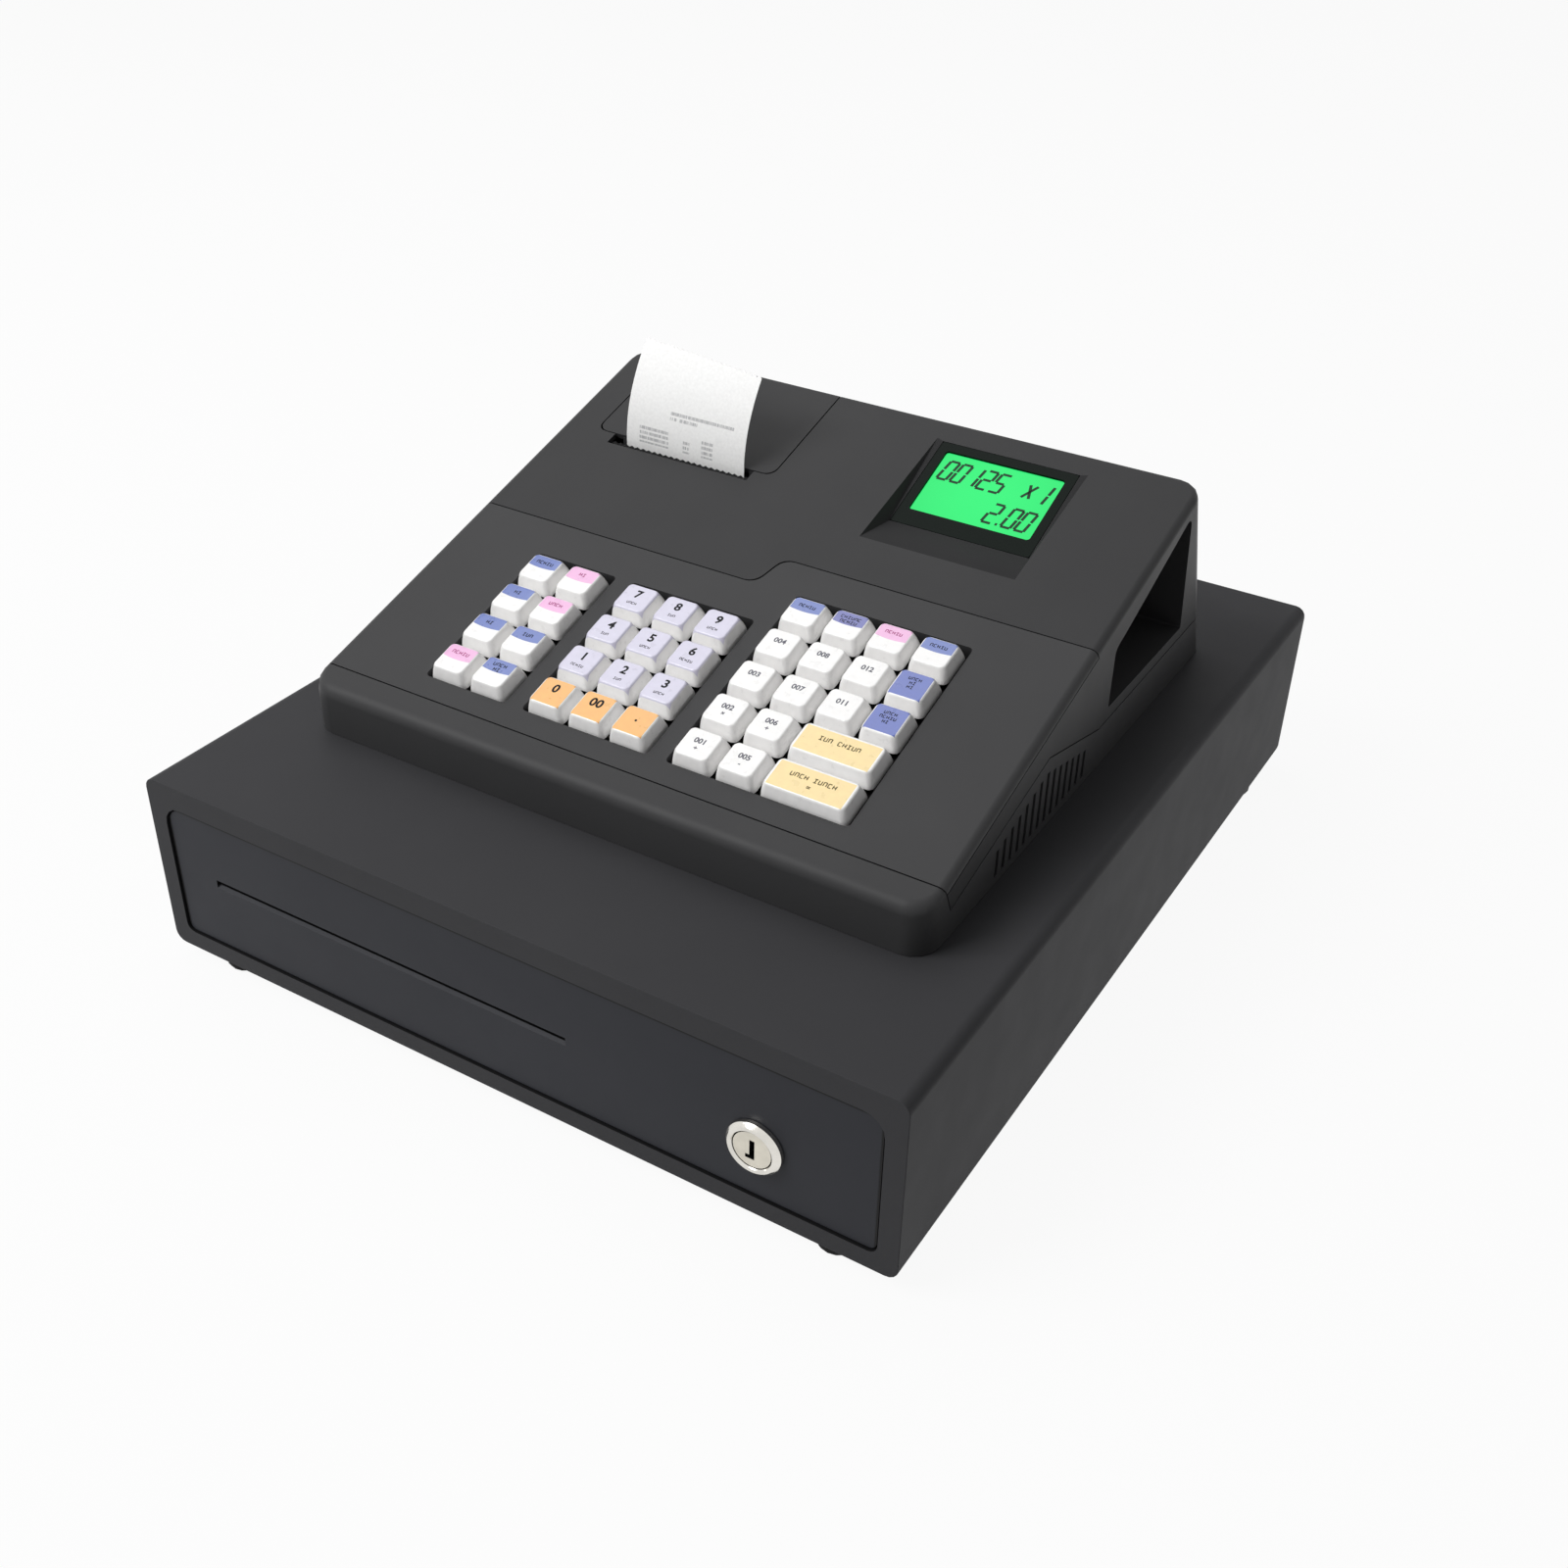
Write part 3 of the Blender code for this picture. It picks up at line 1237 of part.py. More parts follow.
def build_upper_cover(inside):
    """The rear housing with its side walls, display pocket, hand pockets and ticket slot."""
    cover = head_block("upper_cover", 0, PARTS)
    cut(cover, inside)
    keep(cover, cover_zone("upper_cover_zone"))
    cut(cover, panel_zone("upper_panel_zone", SEAM))
    cut(cover, door_zone("upper_door_zone", SEAM))
    build_display(cover)
    build_hand_pockets(cover)
    build_hinge_seat(cover)
    half = SLOT_WIDTH / 2
    slot = ((SLOT_X - half, SLOT_START, -OVERRUN), (SLOT_X + half, DOOR_START + BITE, OVERRUN))
    cut(cover, blocks("ticket_slot", [slot], SLOPED))
    paint(cover, BODY_GREY)


# Printer


def platen_height():
    """Height of the platen's axis."""
    return top_over(PLATEN_Y) - PLATEN_DEPTH


def rib_outline():
    """A rib under the printer door from the side, with the eye that holds the platen's shaft."""
    front, middle = PLATEN_Y - PLATEN_EYE_RADIUS, PLATEN_Y + PLATEN_EYE_RADIUS
    back, low = front + RIB_LENGTH, platen_height() - PLATEN_EYE_RADIUS
    inside = HEAD_WALL / 2 / cos(SLOPE)
    corners = [
        (front, low),
        (middle, low),
        (middle, top_over(middle) - RIB_DEPTH),
        (back, top_over(back) - RIB_DEPTH),
        (back, top_over(back) - inside),
        (front, top_over(front) - inside),
    ]
    eye = PLATEN_EYE_RADIUS - BITE
    return rounded(corners, [eye, eye, 0, 0, 0, 0])


def build_printer_door(inside):
    """The printer door: a piece of the head's skin with a hinge barrel, and ribs that hold the platen."""
    door = head_block("printer_door", 0, PARTS)
    keep(door, door_zone("printer_door_zone", 0))
    cut(door, inside)
    reach = DOOR_PIN_LENGTH - FIT
    barrel = (HINGE @ Vector((0, 0, BITE - DOOR_LEFT)), HINGE @ Vector((0, 0, -DOOR_RIGHT - BITE)))
    pin = (HINGE @ Vector((0, 0, -DOOR_LEFT - reach)), HINGE @ Vector((0, 0, reach - DOOR_RIGHT)))
    join(door, rods("door_barrel", [barrel], DOOR_BARREL_RADIUS, DOOR_STEPS))
    join(door, rods("door_pin", [pin], DOOR_PIN_RADIUS, DOOR_STEPS))
    for name, side in (("left", -1), ("right", 1)):
        ends = sorted((PAPER_X + side * RIB_INSIDE, PAPER_X + side * (RIB_INSIDE + RIB_THICKNESS)))
        join(door, prism(f"door_rib_{name}", rib_outline(), *ends, SIDE))
    half = RIB_INSIDE + RIB_THICKNESS + BITE
    ends = ((PAPER_X - half, PLATEN_Y, platen_height()), (PAPER_X + half, PLATEN_Y, platen_height()))
    cut(door, rods("platen_bores", [ends], PLATEN_SHAFT_RADIUS + FIT, DOOR_STEPS))
    paint(door, BODY_GREY)
    return door


def ticket_path():
    """The ticket from the side: up past the print head, out of the slot and curling back."""
    straight = top_over(TICKET_Y)
    path = [(TICKET_Y, platen_height()), (TICKET_Y, straight)]
    for step in range(1, TICKET_STEPS + 1):
        share = step / TICKET_STEPS
        path.append((TICKET_Y + TICKET_LEAN * share * share, straight + TICKET_RISE * share))
    return path


def build_ticket(swing):
    """The printed ticket that stands in the slot."""
    outline = ribbon(ticket_path(), PAPER_THICKNESS)
    ticket = prism("ticket_strip", outline, PAPER_X - PAPER_HALF, PAPER_X + PAPER_HALF, SIDE, PARTS)
    paint(ticket, PAPER_WHITE, MATT)
    hang(ticket, swing)


def build_platen(swing):
    """The rubber platen roller on its steel shaft."""
    rubber, shaft = PAPER_HALF + PLATEN_OVERHANG, RIB_INSIDE + RIB_THICKNESS
    profile = [
        (0, shaft),
        (PLATEN_SHAFT_RADIUS, shaft),
        (PLATEN_SHAFT_RADIUS, rubber),
        (PLATEN_RADIUS, rubber),
        (PLATEN_RADIUS, -rubber),
        (PLATEN_SHAFT_RADIUS, -rubber),
        (PLATEN_SHAFT_RADIUS, -shaft),
        (0, -shaft),
    ]
    platen = turned("platen_roller", profile, PLATEN_STEPS, group=PARTS)
    stand(platen, (PAPER_X, PLATEN_Y, platen_height()), (0, pi / 2, 0))
    paint(platen, RUBBER_BLACK, MATT)
    hang(platen, swing)


def build_roll():
    """The paper roll that lies in the cradle."""
    profile = [
        (ROLL_CORE_RADIUS, PAPER_HALF),
        (ROLL_RADIUS, PAPER_HALF),
        (ROLL_RADIUS, -PAPER_HALF),
        (ROLL_CORE_RADIUS, -PAPER_HALF),
    ]
    roll = turned("paper_roll", profile, ROLL_STEPS, closed=True, group=PARTS)
    stand(roll, (PAPER_X, ROLL_Y, ROLL_Z), (0, pi / 2, 0))
    paint(roll, PAPER_WHITE, MATT)


def frame_outline():
    """A side plate of the printer frame, with a nose at the front and a lower shoulder behind it."""
    shoulder, nose_back = HEAD_FLOOR + FRAME_SHOULDER_HEIGHT, FRAME_FRONT + FRAME_NOSE_LENGTH
    corners = [
        (FRAME_FRONT, FRAME_FLOOR),
        (FRAME_BACK, FRAME_FLOOR),
        (FRAME_BACK, shoulder),
        (nose_back, shoulder),
        (nose_back, FRAME_NOSE),
        (FRAME_FRONT, FRAME_NOSE),
    ]
    small = FRAME_CORNER / 4
    return rounded(corners, [0, 0, FRAME_CORNER, small, small, small])


def tear_outline():
    """The tear bar from the front, with a row of teeth along its top."""
    foot = FRAME_NOSE - HEAD_BLOCK_HEIGHT / 2
    top = top_over(TICKET_Y - TEAR_BAR_GAP - TEAR_BAR_THICKNESS) - TEAR_BAR_SINK
    half = SLOT_WIDTH / 2 - FRAME_GAP
    left, right = SLOT_X - half, SLOT_X + half
    pitch = (right - left) / TEAR_TOOTH_COUNT
    points = [(right, foot), (right, top - TEAR_TOOTH)]
    for index in range(TEAR_TOOTH_COUNT):
        points.append((right - (index + 1 / 2) * pitch, top))
        points.append((right - (index + 1) * pitch, top - TEAR_TOOTH))
    return points + [(left, foot)]


def build_printer_frame():
    """The printer's frame: side plates, paper cradle, print head, tear bar and feed motor."""
    left = (PAPER_X - FRAME_INSIDE - FRAME_PLATE, PAPER_X - FRAME_INSIDE)
    right = (PAPER_X + FRAME_INSIDE, PAPER_X + FRAME_INSIDE + FRAME_PLATE)
    frame = prism("printer_mechanism", frame_outline(), *left, SIDE, PARTS)
    join(frame, prism("frame_right_plate", frame_outline(), *right, SIDE))
    across = (left[1] - BITE, right[0] + BITE)
    radius = ROLL_RADIUS + CRADLE_GAP + CRADLE_WALL / 2
    path = arc((ROLL_Y, ROLL_Z), radius, CRADLE_START, CRADLE_END, CRADLE_STEPS)
    join(frame, prism("paper_cradle", ribbon(path, CRADLE_WALL), *across, SIDE))
    back = TICKET_Y - PAPER_THICKNESS / 2 - HEAD_BLOCK_GAP
    low = (across[0], back - HEAD_BLOCK_LENGTH, FRAME_NOSE - HEAD_BLOCK_HEIGHT - BITE)
    join(frame, blocks("print_head", [(low, (across[1], back, FRAME_NOSE - BITE))]))
    tear_back = TICKET_Y - TEAR_BAR_GAP
    join(frame, prism("tear_bar", tear_outline(), tear_back - TEAR_BAR_THICKNESS, tear_back, FRONT))
    motor = seat(MOTOR_SET_BACK, MOTOR_HEIGHT)
    ends = ((right[1] - BITE, *motor), (right[1] + MOTOR_LENGTH, *motor))
    join(frame, rods("feed_motor", [ends], MOTOR_RADIUS, MOTOR_STEPS))
    paint(frame, STEEL, METAL)


def build_main_board():
    """The main board with its data ports and its power socket."""
    low = (BOARD_LEFT, BOARD_BACK - BOARD_LENGTH, BOARD_FLOOR)
    board = blocks("main_board", [(low, (BOARD_LEFT + BOARD_WIDTH, BOARD_BACK, SOCKET_FLOOR))], group=PARTS)
    front, top = SOCKET_BACK - SOCKET_LENGTH, SOCKET_FLOOR + SOCKET_HEIGHT
    floor, end = SOCKET_BACK - SOCKET_SINK, SOCKET_BACK + BITE
    shells, holes = [], []
    for x, width in [(x, PORT_WIDTH) for x in PORT_XS] + [(POWER_X, POWER_WIDTH)]:
        half = width / 2
        shells.append(((x - half, front, SOCKET_FLOOR - BITE), (x + half, SOCKET_BACK, top)))
    for x in PORT_XS:
        half = PORT_WIDTH / 2 - SOCKET_WALL
        holes.append(((x - half, floor, SOCKET_FLOOR + SOCKET_WALL), (x + half, end, top - SOCKET_WALL)))
    join(board, blocks("socket_shells", shells))
    cut(board, blocks("port_holes", holes))
    z = SOCKET_FLOOR + SOCKET_HEIGHT / 2
    cut(board, rods("power_bore", [((POWER_X, floor, z), (POWER_X, end, z))], POWER_RADIUS, POWER_STEPS))
    pin = ((POWER_X, floor - BITE, z), (POWER_X, SOCKET_BACK - SOCKET_WALL, z))
    join(board, rods("power_pin", [pin], POWER_PIN_RADIUS, BOSS_STEPS))
    paint(board, BOARD_GREEN)


def build_head():
    """The head's housing, display, printer and main board."""
    inside = head_block("head_inside", HEAD_WALL)
    build_base(inside)
    build_keyboard_cover(inside)
    build_upper_cover(inside)
    build_window_and_lcd()
    door = build_printer_door(inside)
    swing = anchor("door_swing", HINGE.to_translation())
    hang(door, swing)
    build_ticket(swing)
    build_platen(swing)
    build_roll()
    build_printer_frame()
    build_main_board()


# Keys


def key_name(block, row, column):
    """The name of the key at a place, rows counted from the operator."""
    number_rows = (("0", "00", "point"), ("1", "2", "3"), ("4", "5", "6"), ("7", "8", "9"))
    rear_row = KEY_ROWS[block] - 1 - row
    if block == 0:
        return f"function_key_{rear_row * KEY_BLOCKS[0] + column + 1}"
    if block == 1:
        return "key_" + number_rows[row][column]
    if row < DOUBLE_ROW_COUNT and column >= SINGLE_COLUMN_COUNT:
        return ("total_key", "subtotal_key")[row]
    return f"entry_key_r{rear_row + 1}_c{column + 1}"


def key_places():
    """Each key's name, its place on the slope, and how much wider than a single key it is."""
    keys = []
    for block, (columns, count) in enumerate(zip(key_columns(), KEY_ROWS)):
        for row, along in enumerate(key_rows(count)):
            for column, x in enumerate(columns):
                name = key_name(block, row, column)
                if block < 2 or row >= DOUBLE_ROW_COUNT or column < SINGLE_COLUMN_COUNT:
                    keys.append((name, x, along, 0))
                elif column == SINGLE_COLUMN_COUNT:
                    keys.append((name, x + KEY_PITCH / 2, along, KEY_PITCH))
    return keys


def key_pattern(name, extra):
    """A hollow cap with tapered sides, a rounded crown and a guide stem, as a pattern to copy."""
    foot, top = (KEY_FOOT_WIDTH + extra, KEY_FOOT_LENGTH), (KEY_TOP_WIDTH + extra, KEY_TOP_LENGTH)
    cap = tapered(name, foot, top, -KEY_SKIRT, KEY_PROUD)
    bm = bmesh.new()
    bm.from_mesh(cap.data)
    weigh_edges(bm, lambda first, second: float(first.z != second.z))
    bm.to_mesh(cap.data)
    bm.free()
    round_weighed(cap, KEY_CORNER, KEY_CORNER_STEPS)
    round_edges(cap, KEY_TOP_ROUNDING, 1, STEEP_ANGLE)
    walls = KEY_WALL + KEY_WALL
    inside_foot = (foot[0] - walls, foot[1] - walls)
    inside_top = (top[0] - walls, top[1] - walls)
    cut(cap, tapered(f"{name}_inside", inside_foot, inside_top, -KEY_SKIRT - BITE, KEY_PROUD - KEY_ROOF))
    stem = (KEY_STEM + extra, KEY_STEM)
    join(cap, tapered(f"{name}_stem", stem, stem, STEM_END, KEY_PROUD - KEY_ROOF / 2))
    return cap


def key_colour(name):
    """The body colour of a cap."""
    if name in ("key_0", "key_00", "key_point"):
        return CAP_ORANGE
    if name in ("total_key", "subtotal_key"):
        return CAP_YELLOW
    return CAP_LAVENDER if name.startswith("key_") else CAP_WHITE


def build_keys():
    """One cap for each place, from a single or a double pattern."""
    patterns = {0: key_pattern("single_key", 0), KEY_PITCH: key_pattern("double_key", KEY_PITCH)}
    graph = bpy.context.evaluated_depsgraph_get()
    shapes = {extra: bpy.data.meshes.new_from_object(cap.evaluated_get(graph)) for extra, cap in patterns.items()}
    for name, x, along, extra in key_places():
        key = place(name, shapes[extra].copy(), PARTS)
        stand(key, on_slope(x, along, 0), (SLOPE, 0, 0))
        paint(key, key_colour(name))


def build_key_frame():
    """The guide frame under the keys: a plate with a hole for each stem, walls, and the board under it."""
    columns, rows = key_columns(), key_rows(max(KEY_ROWS))
    left, right = columns[0][0] - GUIDE_SIDE, columns[-1][-1] + GUIDE_SIDE
    front, back = rows[0] - GUIDE_END, rows[-1] + GUIDE_END
    under = GUIDE_TOP - GUIDE_THICKNESS
    body = ((left, front, BOARD_TOP - BOARD_THICKNESS), (right, back, GUIDE_TOP))
    frame = blocks("key_frame", [body], SLOPED, PARTS)
    hollow = ((left + GUIDE_WALL, front + GUIDE_WALL, BOARD_TOP), (right - GUIDE_WALL, back - GUIDE_WALL, under))
    cut(frame, blocks("guide_cavity", [hollow], SLOPED))
    half = KEY_STEM / 2 + FIT
    holes = []
    for _, x, along, extra in key_places():
        reach = half + extra / 2
        holes.append(((x - reach, along - half, under - BITE), (x + reach, along + half, GUIDE_TOP + BITE)))
    cut(frame, blocks("guide_holes", holes, SLOPED))
    paint(frame, INSERT_BLACK)


def main():
    """Build the whole register."""
    clear_scene()
    build_drawer()
    build_head()
    build_keys()
    build_key_frame()


if __name__ == "__main__":
    main()
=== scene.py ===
"""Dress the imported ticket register: its shells, keys, display, ticket, lock, inside and studio."""

import json
import logging
import math
from dataclasses import dataclass, field
from enum import Enum

import bmesh
import bpy
import numpy as np
from mathutils import Matrix, Vector

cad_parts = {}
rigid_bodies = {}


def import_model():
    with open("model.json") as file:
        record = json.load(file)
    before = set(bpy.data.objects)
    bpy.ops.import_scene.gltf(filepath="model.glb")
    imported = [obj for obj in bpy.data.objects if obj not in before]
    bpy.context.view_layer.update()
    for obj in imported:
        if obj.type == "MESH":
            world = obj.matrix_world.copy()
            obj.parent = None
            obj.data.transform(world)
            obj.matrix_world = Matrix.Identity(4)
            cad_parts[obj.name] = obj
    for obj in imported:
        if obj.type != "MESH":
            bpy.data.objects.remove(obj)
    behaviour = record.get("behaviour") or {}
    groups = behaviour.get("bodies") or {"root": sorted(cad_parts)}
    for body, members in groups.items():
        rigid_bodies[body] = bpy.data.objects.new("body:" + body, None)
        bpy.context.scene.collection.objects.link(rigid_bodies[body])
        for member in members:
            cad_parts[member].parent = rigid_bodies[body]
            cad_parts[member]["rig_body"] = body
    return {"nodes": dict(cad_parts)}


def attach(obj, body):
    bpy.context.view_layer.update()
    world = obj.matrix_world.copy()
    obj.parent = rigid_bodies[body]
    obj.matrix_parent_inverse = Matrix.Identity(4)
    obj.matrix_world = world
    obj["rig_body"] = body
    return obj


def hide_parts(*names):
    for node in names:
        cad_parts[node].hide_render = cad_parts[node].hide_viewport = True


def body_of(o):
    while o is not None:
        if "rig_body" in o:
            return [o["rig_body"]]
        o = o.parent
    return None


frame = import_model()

logging.basicConfig(level=logging.INFO, format="%(message)s")
LOG = logging.getLogger("ticket_register")

MM = 0.001
MERGE_GRID = 2e-7
FLAT_ANGLE = math.radians(0.4)
INK_RISE = 0.03 * MM


def linear(code: str) -> tuple[float, float, float, float]:
    """Turn a screen colour into linear light: each part is raised by the screen's own curve.

    Args:
        code: six hexadecimal digits, red first.

    Returns:
        Red, green, blue and alpha as linear values.
    """
    parts = np.array([int(code[at:at + 2], 16) for at in (0, 2, 4)]) / 255
    light = np.where(parts <= 0.04045, parts / 12.92, ((parts + 0.055) / 1.055) ** 2.4)
    return (*light.tolist(), 1.0)


# ---------------------------------------------------------------------------- meshes


@dataclass(frozen=True)
class TiltedPlane:
    """A drawing plane whose rows climb towards the rear.

    Attributes:
        origin: the world place of the drawing's zero point.
        tilt: the climb in radians.
    """

    origin: tuple[float, float, float]
    tilt: float

    def lift(self, points: np.ndarray) -> np.ndarray:
        """Carry drawing points (x, up the slope, above it) to the world by one turn about X.

        Args:
            points: an array whose last axis holds three numbers.

        Returns:
            World points in an array of the same shape.
        """
        x, y, z = np.moveaxis(np.asarray(points, float), -1, 0)
        cos, sin = math.cos(self.tilt), math.sin(self.tilt)
        turned = np.stack((x, y * cos - z * sin, y * sin + z * cos), -1)
        return turned + np.asarray(self.origin)

    def flatten(self, points: np.ndarray) -> np.ndarray:
        """Carry world points back to the drawing by the opposite turn about X."""
        x, y, z = np.moveaxis(points - np.asarray(self.origin), -1, 0)
        cos, sin = math.cos(self.tilt), math.sin(self.tilt)
        return np.stack((x, y * cos + z * sin, z * cos - y * sin), -1)

    def at(self, x: float, along: float) -> "TiltedPlane":
        """Return the same plane with its zero point moved over the slope."""
        return TiltedPlane(tuple(self.lift(np.array([x, along, 0.0]))), self.tilt)


HEAD_SLOPE = TiltedPlane((0.0, -0.13595, 0.1117), math.radians(16.50677))


def loop_faces(rows: int, columns: int, shut_rows: bool, shut_columns: bool) -> np.ndarray:
    """Number the quads of a grid, each corner being row times columns plus column.

    Args:
        rows: number of grid rows.
        columns: points in each row.
        shut_rows: whether the last row joins the first.
        shut_columns: whether each row is a ring.

    Returns:
        An array of quads, four point numbers each.
    """
    row = np.arange(rows if shut_rows else rows - 1)[:, None]
    column = np.arange(columns if shut_columns else columns - 1)[None, :]
    beside, over = (column + 1) % columns, (row + 1) % rows
    corners = (row * columns + column, row * columns + beside, over * columns + beside, over * columns + column)
    return np.stack([np.broadcast_to(c, (row.size, column.size)) for c in corners], -1).reshape(-1, 4)


@dataclass
class Stock:
    """Points and faces gathered for one piece."""

    points: list[np.ndarray] = field(default_factory=list)
    faces: list[list[int]] = field(default_factory=list)
    flat_places: list[np.ndarray] = field(default_factory=list)
    count: int = 0

    def add(self, points: np.ndarray, faces: list[list[int]], places: np.ndarray | None = None) -> None:
        """Append points and faces, turning the faces round if they enclose a negative volume.

        Args:
            points: world points, one row each.
            faces: lists of point numbers.
            places: the points' places on the piece's own flat map.
        """
        points = np.asarray(points, float).reshape(-1, 3)
        fans = np.array([(f[0], f[k], f[k + 1]) for f in faces for k in range(1, len(f) - 1)])
        corners = points[fans] - points.mean(0)
        if np.linalg.det(corners).sum() < 0:
            faces = [face[::-1] for face in faces]
        self.points.append(points)
        self.flat_places.append(points[:, :2] * 0 if places is None else np.asarray(places).reshape(-1, 2))
        self.faces += [[corner + self.count for corner in face] for face in faces]
        self.count += len(points)

    def rings(self, points: np.ndarray, shut_rows: bool, places: np.ndarray | None = None) -> None:
        """Add a stack of rings, joined end to end or closed by a face at each end.

        Args:
            points: an array of rings, points in each, three numbers each.
            shut_rows: whether the last ring joins the first.
            places: flat-map places for the same points.
        """
        rows, columns = points.shape[:2]
        faces = loop_faces(rows, columns, shut_rows, True).tolist()
        if not shut_rows:
            last = (rows - 1) * columns
            faces += [list(range(columns))[::-1], list(range(last, last + columns))]
        self.add(points, faces, places)

    def strokes(self, plane: TiltedPlane, starts: np.ndarray, ends: np.ndarray, width: float, rise: float) -> None:
        """Add flat bars: each runs from a start to an end, half its width to either side of that line.

        Args:
            plane: the plane that the bars lie on.
            starts: drawing points where the bars start.
            ends: drawing points where they end.
            width: width of a bar.
            rise: how far a bar stands over the plane.
        """
        starts, ends = np.atleast_2d(starts), np.atleast_2d(ends)
        along = ends - starts
        along /= np.linalg.norm(along, axis=1, keepdims=True)
        side = np.stack((-along[:, 1], along[:, 0]), -1) * width / 2
        flat = np.stack((starts - side, ends - side, ends + side, starts + side), 1)
        height = np.zeros((*flat.shape[:2], 1))
        boxes = np.concatenate((np.concatenate((flat, height - rise), -1), np.concatenate((flat, height + rise), -1)), 1)
        corners = np.array([(3, 2, 1, 0), (4, 5, 6, 7), (0, 1, 5, 4), (1, 2, 6, 5), (2, 3, 7, 6), (3, 0, 4, 7)])
        faces = (corners[None] + 8 * np.arange(len(boxes))[:, None, None]).reshape(-1, 4)
        self.add(plane.lift(boxes.reshape(-1, 3)), faces.tolist())

    def lettered(self, plane: TiltedPlane, words: str, size: float, place: tuple[float, float], rise: float) -> None:
        """Add plain numbers or signs as solid letters, centred on a place of a plane.

        Args:
            plane: the plane that they lie on.
            words: the numbers or signs.
            size: their height as a font counts it.
            place: the drawing point of their middle.
            rise: how far they stand over the plane.
        """
        curve = bpy.data.curves.new("letter_pattern", "FONT")
        curve.body, curve.size, curve.extrude = words, size, rise
        curve.align_x, curve.align_y = "CENTER", "CENTER"
        curve.resolution_u, curve.offset = 3, size * 0.03
        holder = bpy.data.objects.new("letter_pattern", curve)
        bpy.context.scene.collection.objects.link(holder)
        graph = bpy.context.evaluated_depsgraph_get()
        mesh = bpy.data.meshes.new_from_object(holder.evaluated_get(graph))
        points = np.zeros(len(mesh.vertices) * 3)
        mesh.vertices.foreach_get("co", points)
        points = points.reshape(-1, 3) + np.array((*place, 0.0))
        self.add(plane.lift(points), [list(face.vertices) for face in mesh.polygons])
        bpy.data.objects.remove(holder)
        bpy.data.curves.remove(curve)
        bpy.data.meshes.remove(mesh)

    def piece(self, name: str, body: str, finish: "Finish", smooth: float | None = None) -> bpy.types.Object:
        """Make the gathered shape an object that rides on a body.

        Args:
            name: the piece's name.
            body: the body that it rides on.
            finish: what it is finished in.
            smooth: the angle in degrees under which its edges are shaded round, or None for flat faces.

        Returns:
            The new object.
        """
        mesh = bpy.data.meshes.new(name)
        mesh.from_pydata(np.concatenate(self.points).tolist(), [], self.faces)
        corners = np.zeros(len(mesh.loops), int)
        mesh.loops.foreach_get("vertex_index", corners)
        layer = mesh.uv_layers.new(name="flat_place")
        layer.data.foreach_set("uv", np.concatenate(self.flat_places)[corners].ravel())
        thing = bpy.data.objects.new(name, mesh)
        bpy.context.scene.collection.objects.link(thing)
        shade(thing, smooth)
        mesh.materials.append(finish.material())
        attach(thing, body)
        LOG.info("%s: %d faces, rides on %s", name, len(mesh.polygons), body)
        return thing


def shade(thing: bpy.types.Object, smooth: float | None) -> None:
    """Shade an object round under an angle, the larger faces leading each corner's normal.

    Args:
        thing: a mesh object.
        smooth: the angle in degrees, or None for flat faces.
    """
    if smooth is None:
        return
    mesh = thing.data
    mesh.polygons.foreach_set("use_smooth", np.ones(len(mesh.polygons), bool))
    mesh.set_sharp_from_angle(angle=math.radians(smooth))
    leading = thing.modifiers.new("larger_faces_lead", "WEIGHTED_NORMAL")
    leading.keep_sharp = True


def shell_of(node: str, name: str, finish: "Finish", smooth: float = 32.0) -> bpy.types.Object:
    """Stand a merged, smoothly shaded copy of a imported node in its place.

    Args:
        node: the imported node.
        name: the new piece's name.
        finish: what it is finished in.
        smooth: the angle in degrees under which edges are shaded round.

    Returns:
        The new piece, which rides where the node does.
    """
    source = frame["nodes"][node].data
    points = np.zeros(len(source.vertices) * 3)
    source.vertices.foreach_get("co", points)
    corners = np.zeros(len(source.loops), int)
    source.loops.foreach_get("vertex_index", corners)
    cells, first, merged = np.unique(
        np.round(points.reshape(-1, 3) / MERGE_GRID), axis=0, return_index=True, return_inverse=True
    )
    faces = merged.reshape(-1)[corners].reshape(-1, 3)
    ends = np.sort(faces, axis=1)
    faces = faces[(ends[:, 0] != ends[:, 1]) & (ends[:, 1] != ends[:, 2])]
    mesh = bpy.data.meshes.new(name)
    mesh.from_pydata(points.reshape(-1, 3)[first].tolist(), [], faces.tolist())
    work = bmesh.new()
    work.from_mesh(mesh)
    bmesh.ops.dissolve_limit(work, angle_limit=FLAT_ANGLE, verts=work.verts, edges=work.edges)
    work.to_mesh(mesh)
    work.free()
    thing = bpy.data.objects.new(name, mesh)
    bpy.context.scene.collection.objects.link(thing)
    shade(thing, smooth)
    mesh.materials.append(finish.material())
    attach(thing, body_of(frame["nodes"][node])[0])
    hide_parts(node)
    LOG.info("%s: %d faces, stands for %s", name, len(mesh.polygons), node)
    return thing


def refinish(
    thing: bpy.types.Object, finish: "Finish", low: tuple[float, ...], high: tuple[float, ...], plane: TiltedPlane | None = None
) -> None:
    """Give a second finish to the faces whose middles lie in a box.

    Args:
        thing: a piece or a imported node's object.
        finish: the second finish.
        low: the box's lowest corner.
        high: its highest corner.
        plane: the plane that the box is drawn on, or None for the world's own axes.
    """
    mesh = thing.data
    middles = np.zeros(len(mesh.polygons) * 3)
    mesh.polygons.foreach_get("center", middles)
    middles = middles.reshape(-1, 3) if plane is None else plane.flatten(middles.reshape(-1, 3))
    inside = np.all((middles >= low) & (middles <= high), axis=1)
    kept = np.zeros(len(mesh.polygons), int)
    mesh.polygons.foreach_get("material_index", kept)
    mesh.materials.append(finish.material())
    mesh.polygons.foreach_set("material_index", np.where(inside, len(mesh.materials) - 1, kept))


